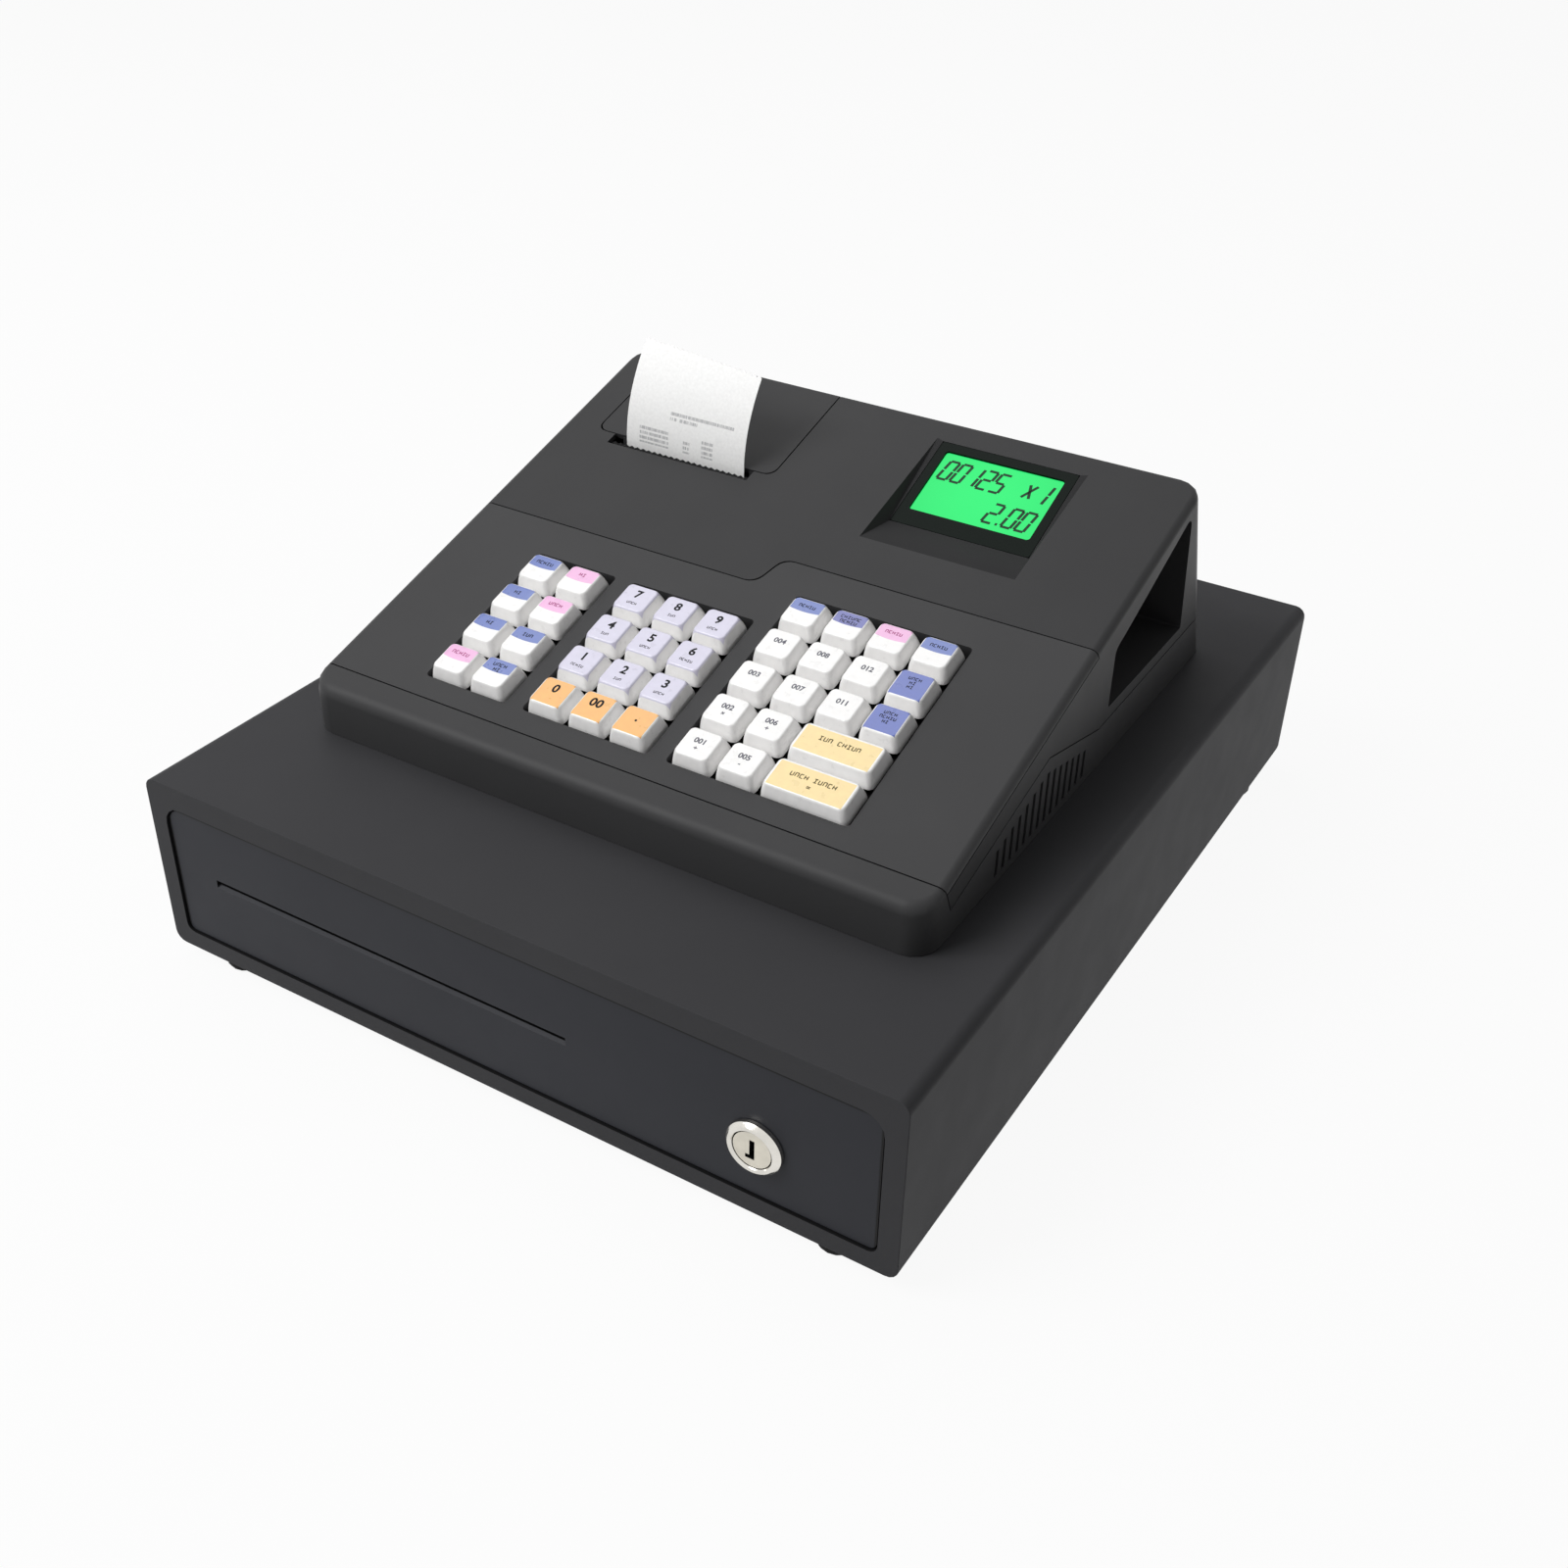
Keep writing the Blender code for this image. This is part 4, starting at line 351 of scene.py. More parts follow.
def paint_node(node: str, finish: "Finish") -> bpy.types.Object:
    """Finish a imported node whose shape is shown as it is."""
    thing = frame["nodes"][node]
    thing.data.materials.clear()
    thing.data.materials.append(finish.material())
    LOG.info("%s: packed shape, new finish", node)
    return thing


# ---------------------------------------------------------------------------- finishes


class Bench:
    """Lays out the nodes of one material."""

    def __init__(self, name: str) -> None:
        """Start an empty material with its output node."""
        self.made = bpy.data.materials.new(name)
        self.made.use_nodes = True
        self.tree = self.made.node_tree
        self.tree.nodes.clear()
        self.out = self.tree.nodes.new("ShaderNodeOutputMaterial")

    def node(self, kind: str, inputs: dict | None = None, **settings: object) -> bpy.types.Node:
        """Add a node.

        Args:
            kind: Blender's name of the node.
            inputs: its input values, or the sockets that feed them.
            **settings: its other settings.

        Returns:
            The node.
        """
        made = self.tree.nodes.new(kind)
        for key, value in settings.items():
            setattr(made, key, value)
        for key, value in (inputs or {}).items():
            if isinstance(value, bpy.types.NodeSocket):
                self.tree.links.new(value, made.inputs[key])
            else:
                made.inputs[key].default_value = value
        return made

    def sum(self, operation: str, *values: object) -> bpy.types.NodeSocket:
        """Return the result of one Math node."""
        return self.node("ShaderNodeMath", dict(enumerate(values)), operation=operation).outputs[0]

    def blend(self, share: object, low: object, high: object) -> bpy.types.NodeSocket:
        """Return a mix of two colours, share being how much of the second."""
        return self.node("ShaderNodeMix", {0: share, 6: low, 7: high}, data_type="RGBA").outputs[2]

    def place(self) -> bpy.types.NodeSocket:
        """Return the object coordinates, which are world places at rest."""
        return self.node("ShaderNodeTexCoord").outputs["Object"]

    def stretched(self, scale: tuple[float, float, float]) -> bpy.types.NodeSocket:
        """Return object coordinates scaled along each axis."""
        return self.node("ShaderNodeMapping", {"Vector": self.place(), "Scale": scale}).outputs[0]

    def noise(self, where: bpy.types.NodeSocket, size: float, detail: float = 3.0) -> bpy.types.NodeSocket:
        """Return a soft random pattern whose lumps are about a size across."""
        return self.node("ShaderNodeTexNoise", {"Vector": where, "Scale": 1 / size, "Detail": detail}).outputs[0]

    def spread(self, value: object, low: float, high: float) -> bpy.types.NodeSocket:
        """Return a value of 0.3 to 0.7 carried to a range, as noise mostly lies there."""
        inputs = {"Value": value, "From Min": 0.3, "From Max": 0.7, "To Min": low, "To Max": high}
        return self.node("ShaderNodeMapRange", inputs).outputs[0]

    def bump(self, height: bpy.types.NodeSocket, depth: float, strength: float = 1.0) -> bpy.types.NodeSocket:
        """Return normals for a relief of a depth."""
        return self.node("ShaderNodeBump", {"Height": height, "Distance": depth, "Strength": strength}).outputs[0]

    def surface(self, **values: object) -> bpy.types.Material:
        """Finish with a Principled surface and return the material."""
        inputs = {key.replace("_", " ").title(): value for key, value in values.items()}
        if "Specular" in inputs:
            inputs["Specular IOR Level"] = inputs.pop("Specular")
        shader = self.node("ShaderNodeBsdfPrincipled", inputs)
        self.tree.links.new(shader.outputs[0], self.out.inputs["Surface"])
        return self.made


class Finish:
    """A finish that makes its material once and then hands out the same one."""

    _made: dict[str, bpy.types.Material] = {}

    def material(self) -> bpy.types.Material:
        """Return the material, made at the first call."""
        if self.name not in Finish._made:
            Finish._made[self.name] = self.lay_out(Bench(self.name))
        return Finish._made[self.name]


@dataclass(frozen=True)
class GrainedPlastic(Finish):
    """Moulded plastic or powder coat: a fine grain, cloudy colour and a slow change of gloss.

    Attributes:
        name: the material's name.
        colour: screen colour.
        roughness: mean roughness.
        grain: size of the grain's lumps.
        relief: depth of the grain.
        cloud: share by which the colour wanders.
        coat: how much clear gloss lies over it.
        specular: how strongly its own surface mirrors.
    """

    name: str
    colour: str
    roughness: float = 0.42
    grain: float = 0.45 * MM
    relief: float = 0.012 * MM
    cloud: float = 0.06
    coat: float = 0.0
    specular: float = 0.14

    def lay_out(self, bench: Bench) -> bpy.types.Material:
        """Mix the colour by a wide noise, the roughness by a middle one and the relief by a fine one."""
        base = np.array(linear(self.colour))
        dark, light = base * (1 - self.cloud), base * (1 + self.cloud)
        where = bench.place()
        wide = bench.spread(bench.noise(where, 60 * MM), 0.0, 1.0)
        fine = bench.noise(where, self.grain, 2.0)
        speck = bench.sum("MULTIPLY", bench.spread(fine, 0.0, 1.0), 0.35)
        share = bench.sum("ADD", bench.sum("MULTIPLY", wide, 0.65), speck)
        colour = self.shade(bench, bench.blend(share, (*dark[:3], 1.0), (*light[:3], 1.0)))
        gloss = bench.spread(bench.noise(where, 18 * MM), self.roughness - 0.02, self.roughness + 0.02)
        return bench.surface(
            base_color=colour, roughness=gloss, normal=bench.bump(fine, self.relief),
            coat_weight=self.coat, coat_roughness=0.12, specular=self.specular,
        )

    def shade(self, bench: Bench, colour: bpy.types.NodeSocket) -> bpy.types.NodeSocket:
        """Return the colour as it is; a finish with shaded places changes it here."""
        return colour


@dataclass(frozen=True)
class FrontPanelPlastic(GrainedPlastic):
    """The drawer front's plastic, with painted shade where its edge turns back into the gap beside the case.

    Attributes:
        half: half the panel's width.
        top: the height of its upper edge.
        edge: how wide the band of painted shade is.
    """

    half: float = 165.7 * MM
    top: float = 78.5 * MM
    edge: float = 0.9 * MM

    def shade(self, bench: Bench, colour: bpy.types.NodeSocket) -> bpy.types.NodeSocket:
        """Paint shade along the edge: darken the colour by how far a place lies past the edge's start, at the sides and
        the top.

        Args:
            bench: the material's tree.
            colour: the plastic's colour.

        Returns:
            The shaded colour.
        """
        split = bench.node("ShaderNodeSeparateXYZ", {"Vector": bench.place()}).outputs
        aside = bench.sum("SUBTRACT", bench.sum("ABSOLUTE", split[0]), self.half - self.edge)
        above = bench.sum("SUBTRACT", split[2], self.top - self.edge)
        past = bench.sum("MAXIMUM", aside, above)
        share = bench.node("ShaderNodeMapRange", {"Value": past, "From Min": -0.3 * MM, "From Max": 0.3 * MM}).outputs[0]
        # blend towards near-black: painted shade in the gap beside the case
        return bench.blend(share, colour, (0.003, 0.003, 0.003, 1.0))


@dataclass(frozen=True)
class BrushedMetal(Finish):
    """Sheet metal with fine lines along one axis.

    Attributes:
        name: the material's name.
        colour: screen colour.
        roughness: mean roughness.
        lines: noise scale along each axis, the smallest along the lines.
    """

    name: str
    colour: str
    roughness: float = 0.34
    lines: tuple[float, float, float] = (1.0, 30.0, 30.0)

    def lay_out(self, bench: Bench) -> bpy.types.Material:
        """Stretch a noise into lines, and use it for tone, roughness and relief."""
        line = bench.noise(bench.stretched(self.lines), 12 * MM, 4.0)
        base = np.array(linear(self.colour))
        tone = bench.spread(line, 0.0, 1.0)
        colour = bench.blend(tone, (*(base * 0.86)[:3], 1.0), (*np.minimum(base * 1.06, 1)[:3], 1.0))
        rough = bench.spread(line, self.roughness - 0.08, self.roughness + 0.1)
        return bench.surface(base_color=colour, roughness=rough, metallic=1.0, normal=bench.bump(line, 0.01 * MM))


@dataclass(frozen=True)
class SatinChrome(Finish):
    """Plated metal with turning marks round an axis along Y.

    Attributes:
        name: the material's name.
        colour: screen colour.
        centre: where the axis is.
        roughness: mean roughness.
        marks: how strongly the turning marks show.
    """

    name: str
    colour: str
    centre: tuple[float, float, float]
    roughness: float
    marks: float

    def lay_out(self, bench: Bench) -> bpy.types.Material:
        """Take the distance from the axis, ring it by a fine noise, and tint the plating a little."""
        back = tuple(-value for value in self.centre)
        moved = bench.node("ShaderNodeMapping", {"Vector": bench.place(), "Location": back}).outputs[0]
        parts = bench.node("ShaderNodeSeparateXYZ", {0: moved}).outputs
        radius = bench.sum("SQRT", bench.sum("ADD", bench.sum("POWER", parts[0], 2.0), bench.sum("POWER", parts[2], 2.0)))
        at = bench.node("ShaderNodeCombineXYZ", {0: radius, 1: bench.sum("MULTIPLY", parts[1], 0.2)}).outputs[0]
        ring = bench.noise(at, 0.35 * MM, 3.0)
        cloud = bench.noise(bench.place(), 5 * MM)
        base = np.array(linear(self.colour))
        colour = bench.blend(bench.spread(cloud, 0.0, 1.0), (*(base * 0.88)[:3], 1.0), (*base[:3], 1.0))
        rough = bench.spread(ring, self.roughness * 0.75, self.roughness * 1.3)
        relief = bench.bump(ring, 0.012 * MM, self.marks)
        return bench.surface(base_color=colour, roughness=rough, metallic=1.0, normal=relief)


@dataclass(frozen=True)
class LabelledCap(Finish):
    """A clear-topped key cap with a coloured slip under part of its top.

    Attributes:
        name: the material's name.
        slip: screen colour of the slip.
        half_size: half the slip's width and length.
        from_row: where the slip starts, as a distance up the cap from its middle.
        bow: how far the slip's near edge bows down in the middle.
        cap: screen colour of the cap.
    """

    name: str
    slip: str
    half_size: tuple[float, float] = (6.9 * MM, 6.7 * MM)
    from_row: float = -6.7 * MM
    bow: float = 0.0
    cap: str = "FAF9F8"

    def lay_out(self, bench: Bench) -> bpy.types.Material:
        """Colour where the flat place lies inside the slip's outline, whose near edge is a parabola."""
        place = bench.node("ShaderNodeTexCoord").outputs["UV"]
        across, up = bench.node("ShaderNodeSeparateXYZ", {0: place}).outputs[:2]
        half, length = self.half_size
        share = bench.sum("DIVIDE", across, half)
        bowed = bench.sum("MULTIPLY", bench.sum("POWER", share, 2.0), self.bow)
        near = bench.sum("SUBTRACT", up, bench.sum("ADD", bowed, self.from_row - self.bow))
        sides = bench.sum("SUBTRACT", half, bench.sum("ABSOLUTE", across))
        rear = bench.sum("SUBTRACT", length, up)
        inside = bench.sum("MINIMUM", bench.sum("MINIMUM", near, sides), rear)
        inputs = {"Value": inside, "From Min": 0.0, "From Max": 0.15 * MM}
        mask = bench.node("ShaderNodeMapRange", inputs).outputs[0]
        cloud = bench.noise(bench.place(), 4 * MM)
        slip, cap = np.array(linear(self.slip)), np.array(linear(self.cap))
        tint = bench.spread(cloud, 0.0, 1.0)
        white = bench.blend(tint, (*(cap * 0.94)[:3], 1.0), (*cap[:3], 1.0))
        dyed = bench.blend(tint, (*(slip * 0.93)[:3], 1.0), (*slip[:3], 1.0))
        colour = bench.blend(mask, white, dyed)
        grain = bench.noise(bench.place(), 0.5 * MM, 2.0)
        rough = bench.spread(cloud, 0.26, 0.36)
        return bench.surface(
            base_color=colour, roughness=rough, normal=bench.bump(grain, 0.004 * MM), coat_weight=0.5,
            coat_roughness=0.08,
        )


@dataclass(frozen=True)
class PrintedPaper(Finish):
    """Thermal paper with rows of faint print near its foot.

    Attributes:
        name: the material's name.
        pitch: distance between rows.
        patches: where print is kept, in millimetres: left, right, lowest and highest path length.
    """

    name: str
    pitch: float = 2.3 * MM
    patches: tuple[tuple[float, float, float, float], ...] = (
        (-9.0, 25.0, 16.1, 18.4), (-9.0, 6.0, 13.8, 16.1), (-25.0, -9.0, 0.5, 9.2), (-1.0, 2.6, 0.5, 6.9), (9.0, 15.0, 0.5, 9.2),
    )

    def lay_out(self, bench: Bench) -> bpy.types.Material:
        """Rule rows by the fraction of the path length, break them into letters by a noise, and keep some patches."""
        place = bench.node("ShaderNodeTexCoord").outputs["UV"]
        across, up = bench.node("ShaderNodeSeparateXYZ", {0: place}).outputs[:2]
        rows = bench.sum("DIVIDE", up, self.pitch)
        in_row = bench.sum("LESS_THAN", bench.sum("FRACT", rows), 0.6)
        seed = bench.sum("MULTIPLY", bench.sum("FLOOR", rows), 5.37)
        at = bench.node("ShaderNodeCombineXYZ", {0: bench.sum("DIVIDE", across, 0.55 * MM), 1: seed}).outputs[0]
        letters = bench.sum("GREATER_THAN", bench.node("ShaderNodeTexNoise", {"Vector": at, "Scale": 1.6}).outputs[0], 0.45)
        ink = bench.sum("MULTIPLY", in_row, letters)
        kept = 0.0
        for left, right, low, high in self.patches:
            sides = bench.sum("MULTIPLY", bench.sum("GREATER_THAN", across, left * MM), bench.sum("LESS_THAN", across, right * MM))
            ends = bench.sum("MULTIPLY", bench.sum("GREATER_THAN", up, low * MM), bench.sum("LESS_THAN", up, high * MM))
            kept = bench.sum("MAXIMUM", kept, bench.sum("MULTIPLY", sides, ends))
        ink = bench.sum("MULTIPLY", ink, kept)
        where = bench.place()
        fibre = bench.noise(where, 1.2 * MM, 4.0)
        paper = bench.blend(bench.spread(fibre, 0.0, 1.0), linear("F1F1F0"), linear("FBFBFA"))
        colour = bench.blend(bench.sum("MULTIPLY", ink, 0.62), paper, linear("808085"))
        fine = bench.noise(where, 0.3 * MM, 2.0)
        return bench.surface(base_color=colour, roughness=bench.spread(fibre, 0.5, 0.62), normal=bench.bump(fine, 0.004 * MM))


@dataclass(frozen=True)
class RolledPaper(Finish):
    """A roll of paper on its card core, its ends ringed by the paper's layers.

    Attributes:
        name: the material's name.
        centre: a point on the roll's axis, which lies along X.
        core: radius of the card core's outside.
    """

    name: str
    centre: tuple[float, float, float]
    core: float = 10.5 * MM

    def lay_out(self, bench: Bench) -> bpy.types.Material:
        """Ring the ends by a noise of the distance from the axis, and colour the core by that distance."""
        back = tuple(-value for value in self.centre)
        moved = bench.node("ShaderNodeMapping", {"Vector": bench.place(), "Location": back}).outputs[0]
        parts = bench.node("ShaderNodeSeparateXYZ", {0: moved}).outputs
        radius = bench.sum("SQRT", bench.sum("ADD", bench.sum("POWER", parts[1], 2.0), bench.sum("POWER", parts[2], 2.0)))
        ring = bench.noise(bench.node("ShaderNodeCombineXYZ", {0: radius}).outputs[0], 0.5 * MM, 2.0)
        paper = bench.blend(bench.spread(ring, 0.0, 1.0), linear("DCDAD6"), linear("F4F3F1"))
        colour = bench.blend(bench.sum("LESS_THAN", radius, self.core), paper, linear("8C6E4C"))
        return bench.surface(base_color=colour, roughness=bench.spread(ring, 0.6, 0.75), normal=bench.bump(ring, 0.02 * MM))


@dataclass(frozen=True)
class LitPanel(Finish):
    """A backlit display: an even glow, a little brighter in the middle, with a fine grid of cells.

    Attributes:
        name: the material's name.
        glow: screen colour of the light.
        centre: the panel's middle.
    """

    name: str
    glow: str
    centre: tuple[float, float, float]

    def lay_out(self, bench: Bench) -> bpy.types.Material:
        """Fade the glow by the squared distance from the middle and rule it with faint cells."""
        back = tuple(-value for value in self.centre)
        moved = bench.node("ShaderNodeMapping", {"Vector": bench.place(), "Location": back}).outputs[0]
        spread = bench.node("ShaderNodeVectorMath", {0: moved}, operation="LENGTH").outputs["Value"]
        parts = bench.node("ShaderNodeSeparateXYZ", {0: moved}).outputs
        cells = [bench.sum("LESS_THAN", bench.sum("FRACT", bench.sum("DIVIDE", part, 0.7 * MM)), 0.12) for part in parts[:2]]
        grid = bench.sum("MULTIPLY", bench.sum("MAXIMUM", *cells), 0.5)
        far = bench.sum("MULTIPLY", bench.sum("POWER", bench.sum("DIVIDE", spread, 34 * MM), 2.0), 0.8)
        share = bench.sum("MINIMUM", bench.sum("ADD", far, grid), 1.0)
        base = np.array(linear(self.glow))
        light = bench.blend(share, tuple(base), (*(base * 0.86)[:3], 1.0))
        rough = bench.spread(bench.noise(bench.place(), 9 * MM), 0.24, 0.32)
        return bench.surface(
            base_color=linear("0C2A16"), roughness=rough, emission_color=light, emission_strength=1.0, specular=0.12
        )


LOCK_CENTRE = (0.1164, -0.20375, 0.0403)
ROLL_CENTRE = (-0.0775, 0.08675, 0.1363)
LCD_CENTRE = (0.0611, 0.0705, 0.1745)

# one plastic in two tones: the keyboard cover's lighter copy and the upper cover's and door's darker copy are painted
# light and shade
BODY_SHADED_TONE = GrainedPlastic("body_plastic", "343435", 0.44)
BODY_LIT_TONE = GrainedPlastic("body_plastic_painted_light", "3C3C3D", 0.44)
BASE = GrainedPlastic("base_plastic", "3A3A3B", 0.46)
CASE = GrainedPlastic("case_powder_coat", "3C3C3E", 0.52, 0.6 * MM, 0.016 * MM, 0.04, 0.0, 0.06)
# the panel's finish paints shade along its outline
PANEL = FrontPanelPlastic("drawer_panel_plastic", "2B2C31", 0.46)
# near-black painted shade for recesses: the key well, the gap round the drawer and the printer's inside
RECESS_SHADE = GrainedPlastic("recess_painted_shade", "161617", 0.5)
BEZEL = GrainedPlastic("bezel_plastic", "08120D", 0.28, 1.2 * MM, 0.003 * MM, 0.1, 0.0, 0.05)
# a darker copy of the body plastic: painted shade on the display pocket's ramp, which faces away from the light
POCKET_SHADE = GrainedPlastic("display_pocket_painted_shade", "29292A", 0.5, specular=0.08)
INSERT = GrainedPlastic("insert_plastic", "2C2C2E", 0.46, 0.7 * MM, 0.02 * MM)
FOOT = GrainedPlastic("foot_rubber", "161616", 0.75, 0.3 * MM, 0.02 * MM)
ROLLER = GrainedPlastic("platen_rubber", "1D1D1E", 0.68, 0.2 * MM, 0.008 * MM)
BOARD = GrainedPlastic("board_lacquer", "1E5A34", 0.3, 0.9 * MM, 0.01 * MM, 0.12, 0.3)
SOCKET = GrainedPlastic("socket_plastic", "151516", 0.35)
INK = GrainedPlastic("key_ink", "0B0B10", 0.5, 0.2 * MM, 0.002 * MM)
PALE_INK = GrainedPlastic("key_pale_ink", "686872", 0.5, 0.2 * MM, 0.002 * MM)
PINK_INK = GrainedPlastic("key_pink_ink", "A83E7C", 0.5, 0.2 * MM, 0.002 * MM)
BROWN_INK = GrainedPlastic("key_brown_ink", "5C5236", 0.5, 0.2 * MM, 0.002 * MM)
LCD_INK = GrainedPlastic("lcd_segment", "06331A", 0.3, 0.3 * MM, 0.001 * MM)
MOTOR = GrainedPlastic("motor_casing", "3A3B3E", 0.35, 0.3 * MM, 0.004 * MM)
TRAY = BrushedMetal("tray_steel", "B4B6B8", 0.36, (1.0, 24.0, 24.0))
CLIP = BrushedMetal("clip_steel", "C2C3C5", 0.28, (30.0, 1.0, 30.0))
STAMPED = BrushedMetal("stamped_steel", "ACAEB0", 0.38, (24.0, 24.0, 1.0))
COLLAR = SatinChrome("lock_collar_chrome", "E2DFD8", LOCK_CENTRE, 0.14, 0.3)
PLUG = SatinChrome("lock_plug_satin", "D8D3C6", LOCK_CENTRE, 0.38, 1.0)
# near-black painted shade in hollows: the keyhole and the drawer front's groove
HOLLOW_SHADE = GrainedPlastic("hollow_painted_shade", "0B0B0B", 0.6)


class Slip(Enum):
    """The coloured slips under the key caps."""

    BLANK = LabelledCap("cap_blank", "FAF9F8")
    BLUE_HALF = LabelledCap("cap_blue_half", "6579BE", from_row=0.4 * MM, bow=0.7 * MM)
    VIOLET_HALF = LabelledCap("cap_violet_half", "6A6FB4", from_row=0.4 * MM, bow=0.7 * MM)
    PINK_HALF = LabelledCap("cap_pink_half", "F2B9E3", from_row=-0.2 * MM, bow=0.7 * MM)
    BLUE = LabelledCap("cap_blue", "5D6EBA")
    LAVENDER = LabelledCap("cap_lavender", "D6D3E6", (7.6 * MM, 7.4 * MM), -7.4 * MM)
    ORANGE = LabelledCap("cap_orange", "F7B765")
    YELLOW = LabelledCap("cap_yellow", "FBE0A0", (16.3 * MM, 6.1 * MM))


# ---------------------------------------------------------------------------- keys


@dataclass
class KeyCap:
    """One hollow key cap with its stem, its slip and its printed mark.

    Attributes:
        node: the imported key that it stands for, also the body it rides on.
        x: the key's middle, to the operator's right.
        along: the key's middle, up the head's slope.
        slip: the slip under its top.
        numbers: plain numbers on its top, or nothing.
        sign: a plain arithmetic sign under the numbers, or nothing.
        lines: rows of plain marks that stand for its words, each row the lengths of its words.
        lines_up: how far up the cap the first row is.
        mark: height of a mark.
        ink: what the number, the sign and the marks are printed in.
        stretch: how much longer half a double cap is than half a single one.
    """

    node: str
    x: float
    along: float
    slip: Slip
    numbers: str = ""
    sign: str = ""
    lines: tuple[tuple[int, ...], ...] = ()
    lines_up: float = 0.0
    mark: float = 1.5 * MM
    ink: GrainedPlastic = INK
    stretch: float = 0.0

    foot: float = -2.5 * MM
    crown: float = 5.0 * MM
    stem_end: float = -12.75 * MM

    def mesh(self) -> Stock:
        """Carry a side profile round a rounded rectangle.

        The profile runs from the stem's end up to the roof, out and down inside the skirt, up the tapered
        outside, over a rounded crown and in to the middle of the top.

        Returns:
            The closed cap.
        """
        bend = np.linspace(0, math.pi / 2, 6)[1:]
        edge, crown = 0.9 * MM, self.crown
        rounded_in = 7.5 * MM - edge + edge * np.cos(bend)
        rounded_up = crown - edge + edge * np.sin(bend)
        half_x = np.concatenate(([2.3, 2.5, 2.5, 6.2, 7.6, 8.9, 9.05, 8.85, 8.35, 7.66], rounded_in / MM, [5.2, 0.6])) * MM
        half_y = half_x + np.concatenate(([0.0, 0.0, 0.0, -0.1, 0.1, 0.1, 0.1, 0.05, -0.05, -0.22], np.full(5, -0.25), [-0.2, 0.0])) * MM
        height = np.concatenate(
            ([self.stem_end, self.stem_end + 0.2 * MM, 3.1 * MM, 3.1 * MM, self.foot + 0.1 * MM, self.foot, self.foot + 0.25 * MM,
              -0.8 * MM, 1.6 * MM, crown - edge], rounded_up, [crown, crown])
        )
        corner = np.concatenate(([0.2, 0.3, 0.3, 1.5, 1.9, 2.6, 2.65, 2.6, 2.5, 2.4], np.linspace(2.35, 1.6, 5), [1.2, 0.3])) * MM
        turn = np.linspace(0, math.pi / 2, 6)
        angle = np.concatenate([turn + quarter * math.pi / 2 for quarter in range(4)])
        side_x, side_y = np.repeat([1, -1, -1, 1], 6), np.repeat([1, 1, -1, -1], 6)
        x = side_x * (half_x + self.stretch - corner)[:, None] + corner[:, None] * np.cos(angle)
        y = side_y * (half_y - corner)[:, None] + corner[:, None] * np.sin(angle)
        flat = np.stack((x, y, np.broadcast_to(height[:, None], x.shape)), -1)
        stock = Stock()
        stock.rings(HEAD_SLOPE.at(self.x, self.along).lift(flat), False, flat[..., :2])
        return stock

    def marks(self) -> Stock:
        """Lay the number, the sign and the blocks on the cap's top."""
        base = HEAD_SLOPE.at(self.x, self.along)
        top = TiltedPlane(tuple(base.lift(np.array([0.0, 0.0, self.crown]))), base.tilt)
        stock = Stock()
        pale = self.slip is Slip.BLANK
        if self.numbers:
            size = 3.6 * MM if pale else 6.0 * MM
            stock.lettered(top, self.numbers, size, (0.0, 1.2 * MM if pale else 1.9 * MM), INK_RISE)
        if self.sign:
            stock.lettered(top, self.sign, 3.0 * MM, (0.0, -2.6 * MM), INK_RISE)
        for number, line in enumerate(self.lines):
            self.row_of_marks(stock, top, line, self.lines_up - number * 1.45 * self.mark)
        return stock

    def row_of_marks(self, stock: Stock, top: TiltedPlane, line: tuple[int, ...], up: float) -> None:
        """Lay a row of small square marks about the middle, each an upright with bars from a fixed cycle.

        Mark number n stands at n times the pitch, and one place is left blank between two words.

        Args:
            stock: where the bars go.
            top: the cap's top.
            line: the lengths of the row's words.
            up: how far up the cap the row's middle is.
        """
        pitch, half = self.mark * 0.92, self.mark * 0.42
        taken = [place for place, sign in enumerate(" ".join("m" * length for length in line)) if sign == "m"]
        at = (np.array(taken) - taken[-1] / 2) * pitch
        shapes = np.array([
            [(-1, -1, -1, 1), (-1, 1, 1, 1), (1, 1, 1, -1)], [(-1, -1, -1, 1), (-1, -1, 1, -1), (-1, 1, 1, 1)],
            [(-1, 1, -1, -1), (-1, 0, 1, 0), (1, 1, 1, -1)], [(-1, 1, 1, 1), (0, 1, 0, -1), (-1, -1, 1, -1)],
            [(-1, 1, -1, -1), (-1, -1, 1, -1), (1, -1, 1, 1)],
        ])
        bars = shapes[(np.arange(len(at)) + len(at)) % len(shapes)] * np.array((0.66, 1.0, 0.66, 1.0)) * half
        bars = (bars + np.stack((at, 0 * at + up, at, 0 * at + up), -1)[:, None, :]).reshape(-1, 4)
        stock.strokes(top, bars[:, :2], bars[:, 2:], self.mark * 0.19, INK_RISE)

    def dress(self) -> None:
        """Build the cap and its marks."""
        cap = self.mesh().piece(f"cap_{self.node}", self.node, self.slip.value, 40)
        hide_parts(self.node)
        if self.numbers or self.sign or self.lines:
            print_on = self.marks().piece(f"print_{self.node}", self.node, self.ink)


